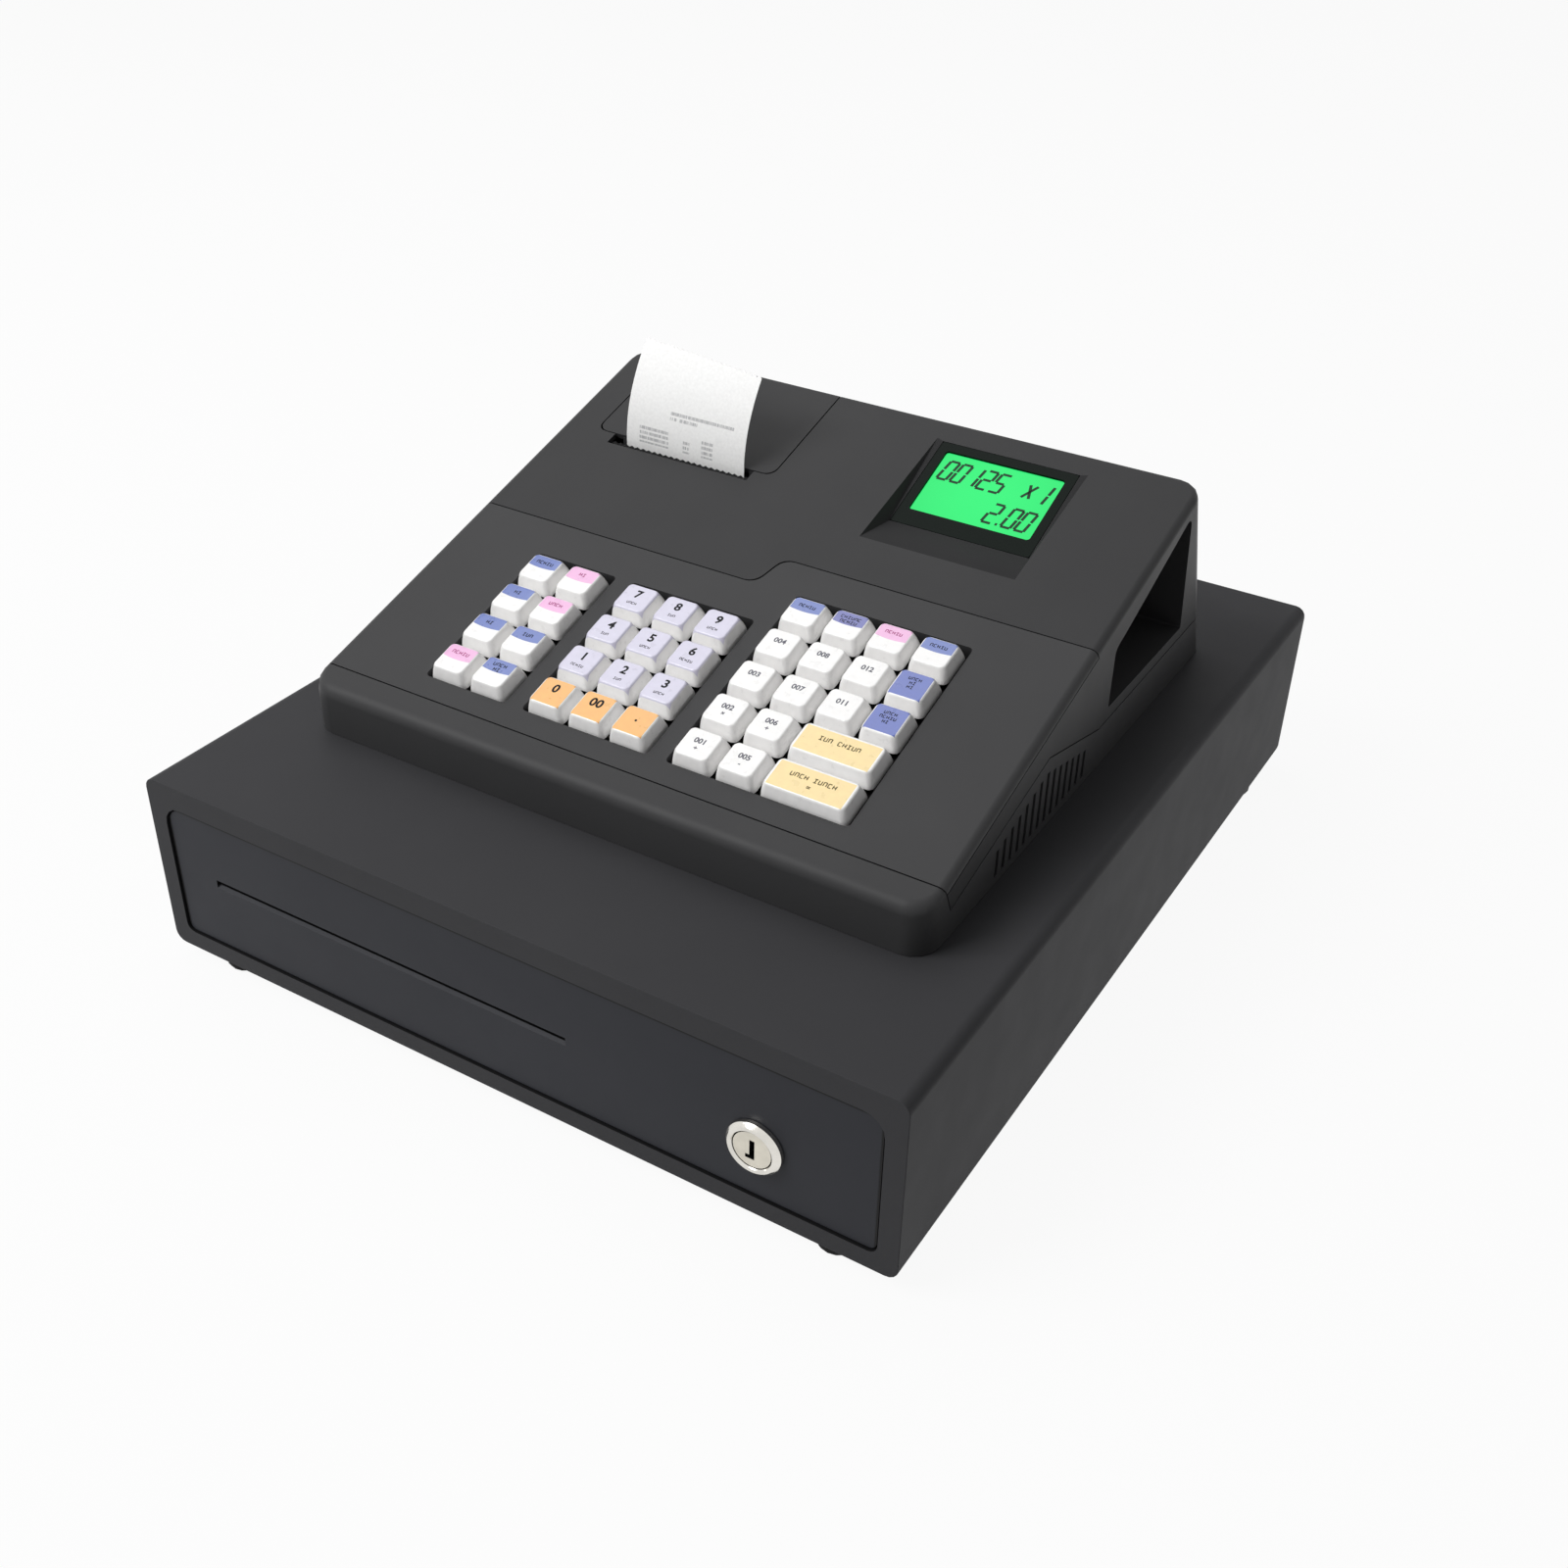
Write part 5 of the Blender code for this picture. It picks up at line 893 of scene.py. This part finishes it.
@dataclass
class Keyboard:
    """The three blocks of keys.

    Attributes:
        pitch: distance from key to key.
        gap: extra distance between blocks.
        first_row: the nearest row's distance up the slope.
    """

    pitch: float = 20 * MM
    gap: float = 9.6 * MM
    first_row: float = 33.45 * MM

    def column(self, block: int, column: int) -> float:
        """Return the place of a column to the operator's right."""
        before = (0, 2, 5)[block]
        return (before + column) * self.pitch + block * self.gap - (8 * self.pitch + 2 * self.gap) / 2

    def row(self, row: int) -> float:
        """Return the place of a row up the slope, the nearest being 0."""
        return self.first_row + row * self.pitch

    def function_keys(self) -> list[KeyCap]:
        """Return the left block, numbered from the rear."""
        slips = (Slip.BLUE_HALF, Slip.PINK_HALF, Slip.BLUE_HALF, Slip.PINK_HALF, Slip.BLUE_HALF, Slip.BLUE_HALF,
                 Slip.PINK_HALF, Slip.BLUE_HALF)
        lines = (((5,),), ((2,),), ((2,),), ((4,),), ((2,),), ((3,),), ((5,),), ((4,), (2,)))
        keys = []
        for n in range(8):
            ink = PINK_INK if slips[n] is Slip.PINK_HALF else INK
            up = (3.9 if len(lines[n]) > 1 else 3.1) * MM
            place = (self.column(0, n % 2), self.row(3 - n // 2))
            keys.append(KeyCap(f"function_key_{n + 1}", *place, slips[n], lines=lines[n], lines_up=up, mark=1.9 * MM, ink=ink))
        return keys

    def number_keys(self) -> list[KeyCap]:
        """Return the middle block, the nearest row orange."""
        keys = []
        for n in range(1, 10):
            place = (self.column(1, (n - 1) % 3), self.row(1 + (n - 1) // 3))
            lines = ((5 if n in (1, 6) else 3 + n % 2,),)
            keys.append(KeyCap(f"key_{n}", *place, Slip.LAVENDER, str(n), lines=lines, lines_up=-3.3 * MM, mark=1.35 * MM))
        for column, (node, numbers) in enumerate((("key_0", "0"), ("key_00", "00"), ("key_point", "."))):
            keys.append(KeyCap(node, self.column(1, column), self.row(0), Slip.ORANGE, numbers))
        return keys

    def entry_keys(self) -> list[KeyCap]:
        """Return the right block: a row of slips, the numbered keys and the two doubles."""
        keys = []
        slips = (Slip.BLUE_HALF, Slip.VIOLET_HALF, Slip.PINK_HALF, Slip.BLUE_HALF)
        lines = (((5,),), ((6,), (5,)), ((5,),), ((5,),))
        for column in range(4):
            place = (self.column(2, column), self.row(4))
            ink = PINK_INK if slips[column] is Slip.PINK_HALF else INK
            up = (4.0 if column == 1 else 3.1) * MM
            node = f"entry_key_r1_c{column + 1}"
            keys.append(KeyCap(node, *place, slips[column], lines=lines[column], lines_up=up, mark=1.7 * MM, ink=ink))
        numbers = (("004", "008", "012"), ("003", "007", "011"), ("002", "006"), ("001", "005"))
        signs = (("", "", ""), ("", "", ""), ("×", "+"), ("÷", "-"))
        for back, (line, line_signs) in enumerate(zip(numbers, signs)):
            for column, (number, sign) in enumerate(zip(line, line_signs)):
                place = (self.column(2, column), self.row(3 - back))
                keys.append(KeyCap(f"entry_key_r{back + 2}_c{column + 1}", *place, Slip.BLANK, number, sign, ink=PALE_INK))
        for back in (2, 3):
            place = (self.column(2, 3), self.row(5 - back))
            lines = ((4,), (2,), (2,)) if back == 2 else ((4,), (5,), (2,))
            keys.append(KeyCap(f"entry_key_r{back}_c4", *place, Slip.BLUE, lines=lines, lines_up=3.4 * MM, mark=1.6 * MM))
        middle = self.column(2, 2) + self.pitch / 2
        for row, (node, sign) in enumerate((("total_key", "="), ("subtotal_key", ""))):
            lines = ((4 - row, 5),)
            keys.append(
                KeyCap(node, middle, self.row(row), Slip.YELLOW, "", sign, lines, 1.5 * MM, 2.2 * MM, BROWN_INK, self.pitch / 2)
            )
        return keys

    def dress(self) -> None:
        """Build every key and finish the frame under them."""
        for key in self.function_keys() + self.number_keys() + self.entry_keys():
            key.dress()
        # the key frame is painted near-black as shade in the well between the caps
        paint_node("key_frame", RECESS_SHADE)


# ---------------------------------------------------------------------------- display


@dataclass
class Display:
    """The lit panel's characters, drawn as slanted seven-bar numbers.

    Attributes:
        plane: the panel's face, zero at the middle of its near edge.
        digit: width and height of a number.
        bar: width of a bar.
        slant: how far a bar leans for each unit of height.
    """

    digit: tuple[float, float] = (4.4 * MM, 11.4 * MM)
    bar: float = 1.35 * MM
    slant: float = 0.16
    tilt: float = math.radians(16.50677) + math.asin((5.5 - 0.3) / 51.2)

    def face(self) -> TiltedPlane:
        """Return the plane of the lit face: the display's pocket plane, sunk by the panel's own depth."""
        corner = HEAD_SLOPE.lift(np.array([61.1 * MM, 188.0 * MM, -5.5 * MM]))
        start = TiltedPlane(tuple(corner), self.tilt)
        return TiltedPlane(tuple(start.lift(np.array([0.0, 9.0 * MM, -0.8 * MM]))), self.tilt)

    def bars(self, sign: str) -> list[tuple[float, float, float, float]]:
        """Return the bars of a number or of the times sign, in shares of its width and height.

        Args:
            sign: a digit, "x" for the times sign, or "." for a point.

        Returns:
            Start and end of each bar.
        """
        if sign == "x":
            return [(0.1, 0.12, 0.9, 0.82), (0.1, 0.82, 0.9, 0.12)]
        if sign == ".":
            return [(0.80, 0.03, 1.04, 0.03)]
        middle = 0.5
        segments = {
            "a": (0.02, 1, 0.98, 1), "b": (1, 0.98, 1, 0.53), "c": (1, 0.47, 1, 0.02), "d": (0.02, 0, 0.98, 0),
            "e": (0, 0.47, 0, 0.02), "f": (0, 0.98, 0, 0.53), "g": (0.08, middle, 0.92, middle),
        }
        lit = {
            "0": "abcdef", "1": "bc", "2": "abged", "3": "abgcd", "4": "fgbc", "5": "afgcd", "6": "afgecd", "7": "abc",
            "8": "abcdefg", "9": "abcdfg",
        }
        return [segments[part] for part in lit[sign]]

    def write(self, stock: Stock, signs: str, right: float, foot: float) -> None:
        """Lay a row of characters that ends at a place.

        Args:
            stock: where the bars go.
            signs: digits, spaces, "x" and ".".
            right: the drawing place of the row's right end.
            foot: the drawing place of its foot.
        """
        width, height = self.digit
        pitch, at = width * 1.42, right - width
        starts, ends = [], []
        for sign in reversed(signs):
            if sign != " ":
                for bar in self.bars(sign):
                    starts.append((at + bar[0] * width, foot + bar[1] * height))
                    ends.append((at + bar[2] * width, foot + bar[3] * height))
            at -= pitch if sign != "." else pitch * 0.45
        lean = np.array([[1.0, 0.0], [self.slant, 1.0]])
        stock.strokes(self.face(), np.array(starts) @ lean, np.array(ends) @ lean, self.bar, INK_RISE)

    def dress(self) -> None:
        """Finish the window and the panel, and write two rows of plain numbers."""
        shell_of("display_window", "display_bezel", BEZEL)
        paint_node("lcd_panel", LitPanel("lcd_glow", "2FF47C", LCD_CENTRE))
        stock = Stock()
        self.write(stock, "00125", 0.0, 21.5 * MM)
        self.write(stock, "x1", 20.6 * MM, 21.5 * MM)
        self.write(stock, "2.00", 23.2 * MM, 4.2 * MM)
        stock.piece("lcd_numbers", "register", LCD_INK)


# ---------------------------------------------------------------------------- printer


@dataclass
class Printer:
    """The printed ticket, the roll, the platen and the mechanism.

    Attributes:
        middle: the paper's middle, to the operator's right.
        width: the paper's width.
        foot: where the ticket starts, as (y, z).
        slot: where it leaves the slot.
        rise: how far it stands over the slot.
        lean: how far its top leans back.
        thickness: the paper's thickness.
        teeth: teeth torn into its top edge.
        tooth: a tooth's height.
        fall: how much lower the torn edge is at its right end, as a share of the rise.
    """

    middle: float = -77.5 * MM
    width: float = 64 * MM
    foot: tuple[float, float] = (44.25 * MM, 156.857 * MM)
    slot: tuple[float, float] = (44.25 * MM, 165.104 * MM)
    rise: float = 43.5 * MM
    lean: float = 18 * MM
    thickness: float = 0.25 * MM
    teeth: int = 24
    tooth: float = 0.8 * MM
    fall: float = 0.10

    def ticket(self) -> Stock:
        """Carry a ribbon's outline across the paper's width.

        The middle line climbs straight to the slot and then leans back by the square of its share of the rise.
        Half the thickness lies to either side of it. A triangle wave trims its top into teeth, and the torn edge
        falls towards the right by a straight share.

        Returns:
            The closed strip.
        """
        across = np.linspace(-0.5, 0.5, self.teeth * 4 + 1)
        share = np.concatenate((np.linspace(-1, 0, 4)[:-1], np.linspace(0, 1, 40)))
        wave = np.abs(((across + 0.5) * self.teeth) % 1 - 0.5) * 2
        top = 1 - wave * self.tooth / self.rise - self.fall * (across + 0.5)
        up = np.where(share[:, None] > 0, share[:, None] * top[None, :], share[:, None] * np.ones_like(top)[None, :])
        above = np.maximum(up, 0)
        y = self.slot[0] + self.lean * above ** 2
        z = self.slot[1] + self.rise * above + np.minimum(up, 0) * (self.slot[1] - self.foot[1])
        slope = 2 * self.lean * above / self.rise
        normal = np.stack((-np.ones_like(slope), slope), -1) / np.sqrt(1 + slope ** 2)[..., None] * self.thickness / 2
        x = np.broadcast_to(self.middle + across * self.width, y.shape)
        front = np.stack((x, y + normal[..., 0], z + normal[..., 1]), -1)
        back = np.stack((x, y - normal[..., 0], z - normal[..., 1]), -1)
        flat = np.stack((np.broadcast_to(across * self.width, y.shape), up * self.rise), -1)
        points = np.concatenate((front, back[::-1]), 0).transpose(1, 0, 2)
        places = np.concatenate((flat, flat[::-1] - np.array([0.0, 1.0])), 0).transpose(1, 0, 2)
        columns, count = points.shape[0], points.shape[1]
        faces = loop_faces(columns, count, False, True).tolist()
        half = count // 2
        for column in (0, columns - 1):
            start = column * count
            rows = [[start + k, start + k + 1, start + count - 2 - k, start + count - 1 - k] for k in range(half - 1)]
            faces += rows if column == 0 else [row[::-1] for row in rows]
        stock = Stock()
        stock.add(points, faces, places)
        return stock

    def dress(self) -> None:
        """Build the ticket and finish the roll, the platen and the mechanism."""
        ticket = self.ticket().piece("printed_ticket", "printer_door", PrintedPaper("ticket_paper"), 50)
        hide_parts("ticket_strip")
        shell_of("paper_roll", "roll_of_paper", RolledPaper("roll_paper", ROLL_CENTRE))
        platen = shell_of("platen_roller", "platen", ROLLER)
        refinish(platen, MOTOR, (-1, -1, -1), (-0.1101, 1, 1))
        refinish(platen, MOTOR, (-0.0449, -1, -1), (1, 1, 1))
        works = paint_node("printer_mechanism", STAMPED)
        # the mechanism's top gets near-black painted shade
        refinish(works, RECESS_SHADE, (-1, -1, 0.1515), (1, 1, 1))
        refinish(works, MOTOR, (-0.0398, -1, -1), (1, 1, 1))


# ---------------------------------------------------------------------------- drawer


@dataclass
class LockCollar:
    """The lock's plated barrel with its collar, turned about an axis along Y.

    Attributes:
        steps: points round the collar.
        bore: the bore's radius.
        collar: the collar's radius.
        body: the barrel's radius behind the panel.
        length: the barrel's length.
    """

    steps: int = 96
    bore: float = 8.3 * MM
    collar: float = 11.5 * MM
    body: float = 9.2 * MM
    length: float = 22.2 * MM

    def mesh(self) -> Stock:
        """Turn a closed profile of (radius, depth behind the face) round the lock's axis."""
        profile = np.array([
            (self.bore, 0.5 * MM), (self.bore + 0.25 * MM, 0.1 * MM), (self.bore + 0.55 * MM, 0.0),
            (self.collar - 1.5 * MM, 0.0), (self.collar - 1.3 * MM, 0.1 * MM), (self.collar - 0.15 * MM, 1.25 * MM),
            (self.collar, 1.5 * MM), (self.collar, 3.2 * MM), (self.body, 3.2 * MM), (self.body, self.length),
            (self.bore, self.length),
        ])
        turn = np.linspace(0, 2 * math.pi, self.steps, endpoint=False)
        radius, depth = profile[:, 0][:, None], profile[:, 1][:, None]
        x, y, z = LOCK_CENTRE
        points = np.stack((x + radius * np.cos(turn), y + depth + 0 * turn, z + radius * np.sin(turn)), -1)
        stock = Stock()
        stock.rings(points, True)
        return stock

    def dress(self) -> None:
        """Build the collar and finish the plug, whose keyhole gets near-black painted shade inside."""
        collar = self.mesh().piece("lock_collar", "drawer", COLLAR, 25)
        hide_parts("lock_barrel")
        plug = paint_node("lock_plug", PLUG)
        x, y, z = LOCK_CENTRE
        # the keyhole's inside gets painted shade
        refinish(plug, HOLLOW_SHADE, (x - 2.9 * MM, y + 0.9 * MM, z - 4.9 * MM), (x + 2.9 * MM, y + 6.0 * MM, z + 4.9 * MM))


@dataclass
class Drawer:
    """The case and all that slides in it."""

    def dress(self) -> None:
        """Finish the case, the front, the tray, the insert, the clips and the lock."""
        case = shell_of("drawer_case", "case_shell", CASE)
        # the case's walls round the drawer opening get near-black painted shade
        refinish(case, RECESS_SHADE, (-166.8 * MM, -200.9 * MM, 7.5 * MM), (166.8 * MM, -189.4 * MM, 79.5 * MM))
        refinish(case, FOOT, (-1, -1, -1), (1, 1, 6.95 * MM))
        panel = shell_of("drawer_front", "front_panel", PANEL)
        # the groove across the drawer front gets painted shade
        refinish(panel, HOLLOW_SHADE, (-144.5 * MM, -200.15 * MM, 47.1 * MM), (34.5 * MM, -197.0 * MM, 50.1 * MM))
        shell_of("drawer_tray", "steel_tray", TRAY)
        shell_of("till_insert", "money_insert", INSERT)
        for number in range(1, 5):
            shell_of(f"bill_clip_{number}", f"note_clip_{number}", CLIP)
        LockCollar().dress()


@dataclass
class Head:
    """The housings of the head and what stands in them."""

    def dress(self) -> None:
        """Finish the housings, the door and the board."""
        shell_of("register_base", "base_shell", BASE)
        # the keyboard cover, the upper cover and the door share one plastic, painted lighter or darker as light and
        # shade
        shell_of("keyboard_cover", "keyboard_shell", BODY_LIT_TONE)
        upper = shell_of("upper_cover", "upper_shell", BODY_SHADED_TONE)
        # the display pocket's faces get painted shade
        refinish(upper, POCKET_SHADE, (24.6 * MM, 167.9 * MM, -12 * MM), (97.6 * MM, 241.5 * MM, -0.2 * MM), HEAD_SLOPE)
        shell_of("printer_door", "door_shell", BODY_SHADED_TONE)
        board = paint_node("main_board", BOARD)
        refinish(board, SOCKET, (-1, -1, 0.0990), (1, 1, 1))


# ---------------------------------------------------------------------------- studio


@dataclass
class Studio:
    """The floor, the light and the camera.

    Attributes:
        place: the camera's place.
        forward: where it looks.
        right: which way its right is.
        focal: its focal length, in pixels of a picture as wide as frame_size.
        frame_size: that picture's width in pixels.
        sensor: the sensor's width in millimetres.
        ambient: strength of the light from all round.
    """

    place: tuple[float, float, float] = (0.3521, -0.5860, 0.4928)
    forward: tuple[float, float, float] = (-0.424, 0.717, -0.554)
    right: tuple[float, float, float] = (0.853, 0.521, 0.021)
    focal: float = 1830.1
    frame_size: float = 1600.0
    sensor: float = 36.0
    ambient: float = 0.22

    def camera(self) -> None:
        """Make the camera from its place and two directions, squared to each other."""
        back = -Vector(self.forward).normalized()
        right = Vector(self.right)
        right = (right - back * right.dot(back)).normalized()
        up = back.cross(right)
        lens = bpy.data.cameras.new("photo_camera")
        lens.sensor_width = self.sensor
        lens.lens = self.focal / self.frame_size * self.sensor
        lens.clip_start, lens.clip_end = 0.01, 50.0
        camera = bpy.data.objects.new("photo_camera", lens)
        turn = Matrix((right, up, back)).transposed().to_4x4()
        camera.matrix_world = Matrix.Translation(self.place) @ turn
        bpy.context.scene.collection.objects.link(camera)
        bpy.context.scene.camera = camera

    def lamp(self, name: str, place: tuple[float, float, float], size: float, power: float) -> None:
        """Hang a square soft lamp that faces the register."""
        light = bpy.data.lights.new(name, "AREA")
        light.size, light.energy = size, power
        lamp = bpy.data.objects.new(name, light)
        lamp.location = place
        aim = Vector((0.0, 0.0, 0.08)) - Vector(place)
        lamp.rotation_euler = aim.to_track_quat("-Z", "Y").to_euler()
        bpy.context.scene.collection.objects.link(lamp)

    def seen(self, bench: Bench) -> bpy.types.NodeSocket:
        """Return 1 for rays from the camera and for mirrored or passing ones."""
        path = bench.node("ShaderNodeLightPath").outputs
        both = bench.sum("MAXIMUM", path["Is Camera Ray"], path["Is Glossy Ray"])
        return bench.sum("MAXIMUM", both, path["Is Transmission Ray"])

    def floor(self) -> None:
        """Lay a wide pale floor, half lit by the lamps and half bright of itself."""
        edge = np.linspace(-6.0, 6.0, 13)
        x, y = np.meshgrid(edge, edge)
        mesh = bpy.data.meshes.new("floor")
        points = np.stack((x, y, np.zeros_like(x)), -1).reshape(-1, 3)
        mesh.from_pydata(points.tolist(), [], loop_faces(13, 13, False, False).tolist())
        bench = Bench("floor_paper")
        cloud = bench.noise(bench.place(), 0.5)
        colour = bench.blend(bench.spread(cloud, 0.0, 1.0), (0.70, 0.70, 0.70, 1.0), (0.74, 0.74, 0.74, 1.0))
        matt = bench.node("ShaderNodeBsdfDiffuse", {"Color": colour}).outputs[0]
        glow = bench.node("ShaderNodeEmission", {"Color": (1.0, 1.0, 1.0, 1.0), "Strength": 1.0}).outputs[0]
        share = bench.sum("MULTIPLY", self.seen(bench), 0.93)
        mixed = bench.node("ShaderNodeMixShader", {0: share, 1: matt, 2: glow}).outputs[0]
        bench.tree.links.new(mixed, bench.out.inputs["Surface"])
        mesh.materials.append(bench.made)
        floor = bpy.data.objects.new("floor", mesh)
        bpy.context.scene.collection.objects.link(floor)

    def sky(self) -> None:
        """Surround the scene with an even light that shows as white."""
        world = bpy.data.worlds.new("studio")
        bpy.context.scene.world = world
        world.use_nodes = True
        tree = world.node_tree
        tree.nodes.clear()
        path = tree.nodes.new("ShaderNodeLightPath").outputs
        seen = tree.nodes.new("ShaderNodeMath")
        seen.operation = "MAXIMUM"
        both = tree.nodes.new("ShaderNodeMath")
        both.operation = "MAXIMUM"
        mix = tree.nodes.new("ShaderNodeMapRange")
        ground = tree.nodes.new("ShaderNodeBackground")
        out = tree.nodes.new("ShaderNodeOutputWorld")
        mix.inputs["To Min"].default_value = self.ambient
        mix.inputs["To Max"].default_value = 1.0
        tree.links.new(path["Is Camera Ray"], both.inputs[0])
        tree.links.new(path["Is Glossy Ray"], both.inputs[1])
        tree.links.new(both.outputs[0], seen.inputs[0])
        tree.links.new(path["Is Transmission Ray"], seen.inputs[1])
        tree.links.new(seen.outputs[0], mix.inputs["Value"])
        ground.inputs["Color"].default_value = (1.0, 1.0, 1.0, 1.0)
        tree.links.new(mix.outputs[0], ground.inputs["Strength"])
        tree.links.new(ground.outputs[0], out.inputs["Surface"])

    def set_up(self) -> None:
        """Build the studio."""
        self.camera()
        self.floor()
        self.sky()
        self.lamp("key_lamp", (-1.15, -1.35, 1.75), 1.3, 41.5)
        self.lamp("top_lamp", (-0.7, 0.3, 2.1), 1.6, 13.0)
        bpy.context.scene.view_settings.view_transform = "Standard"


def main() -> None:
    """Dress the register and build the studio."""
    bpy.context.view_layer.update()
    Studio().set_up()
    Drawer().dress()
    Head().dress()
    Display().dress()
    Printer().dress()
    Keyboard().dress()


if __name__ == "__main__":
    main()
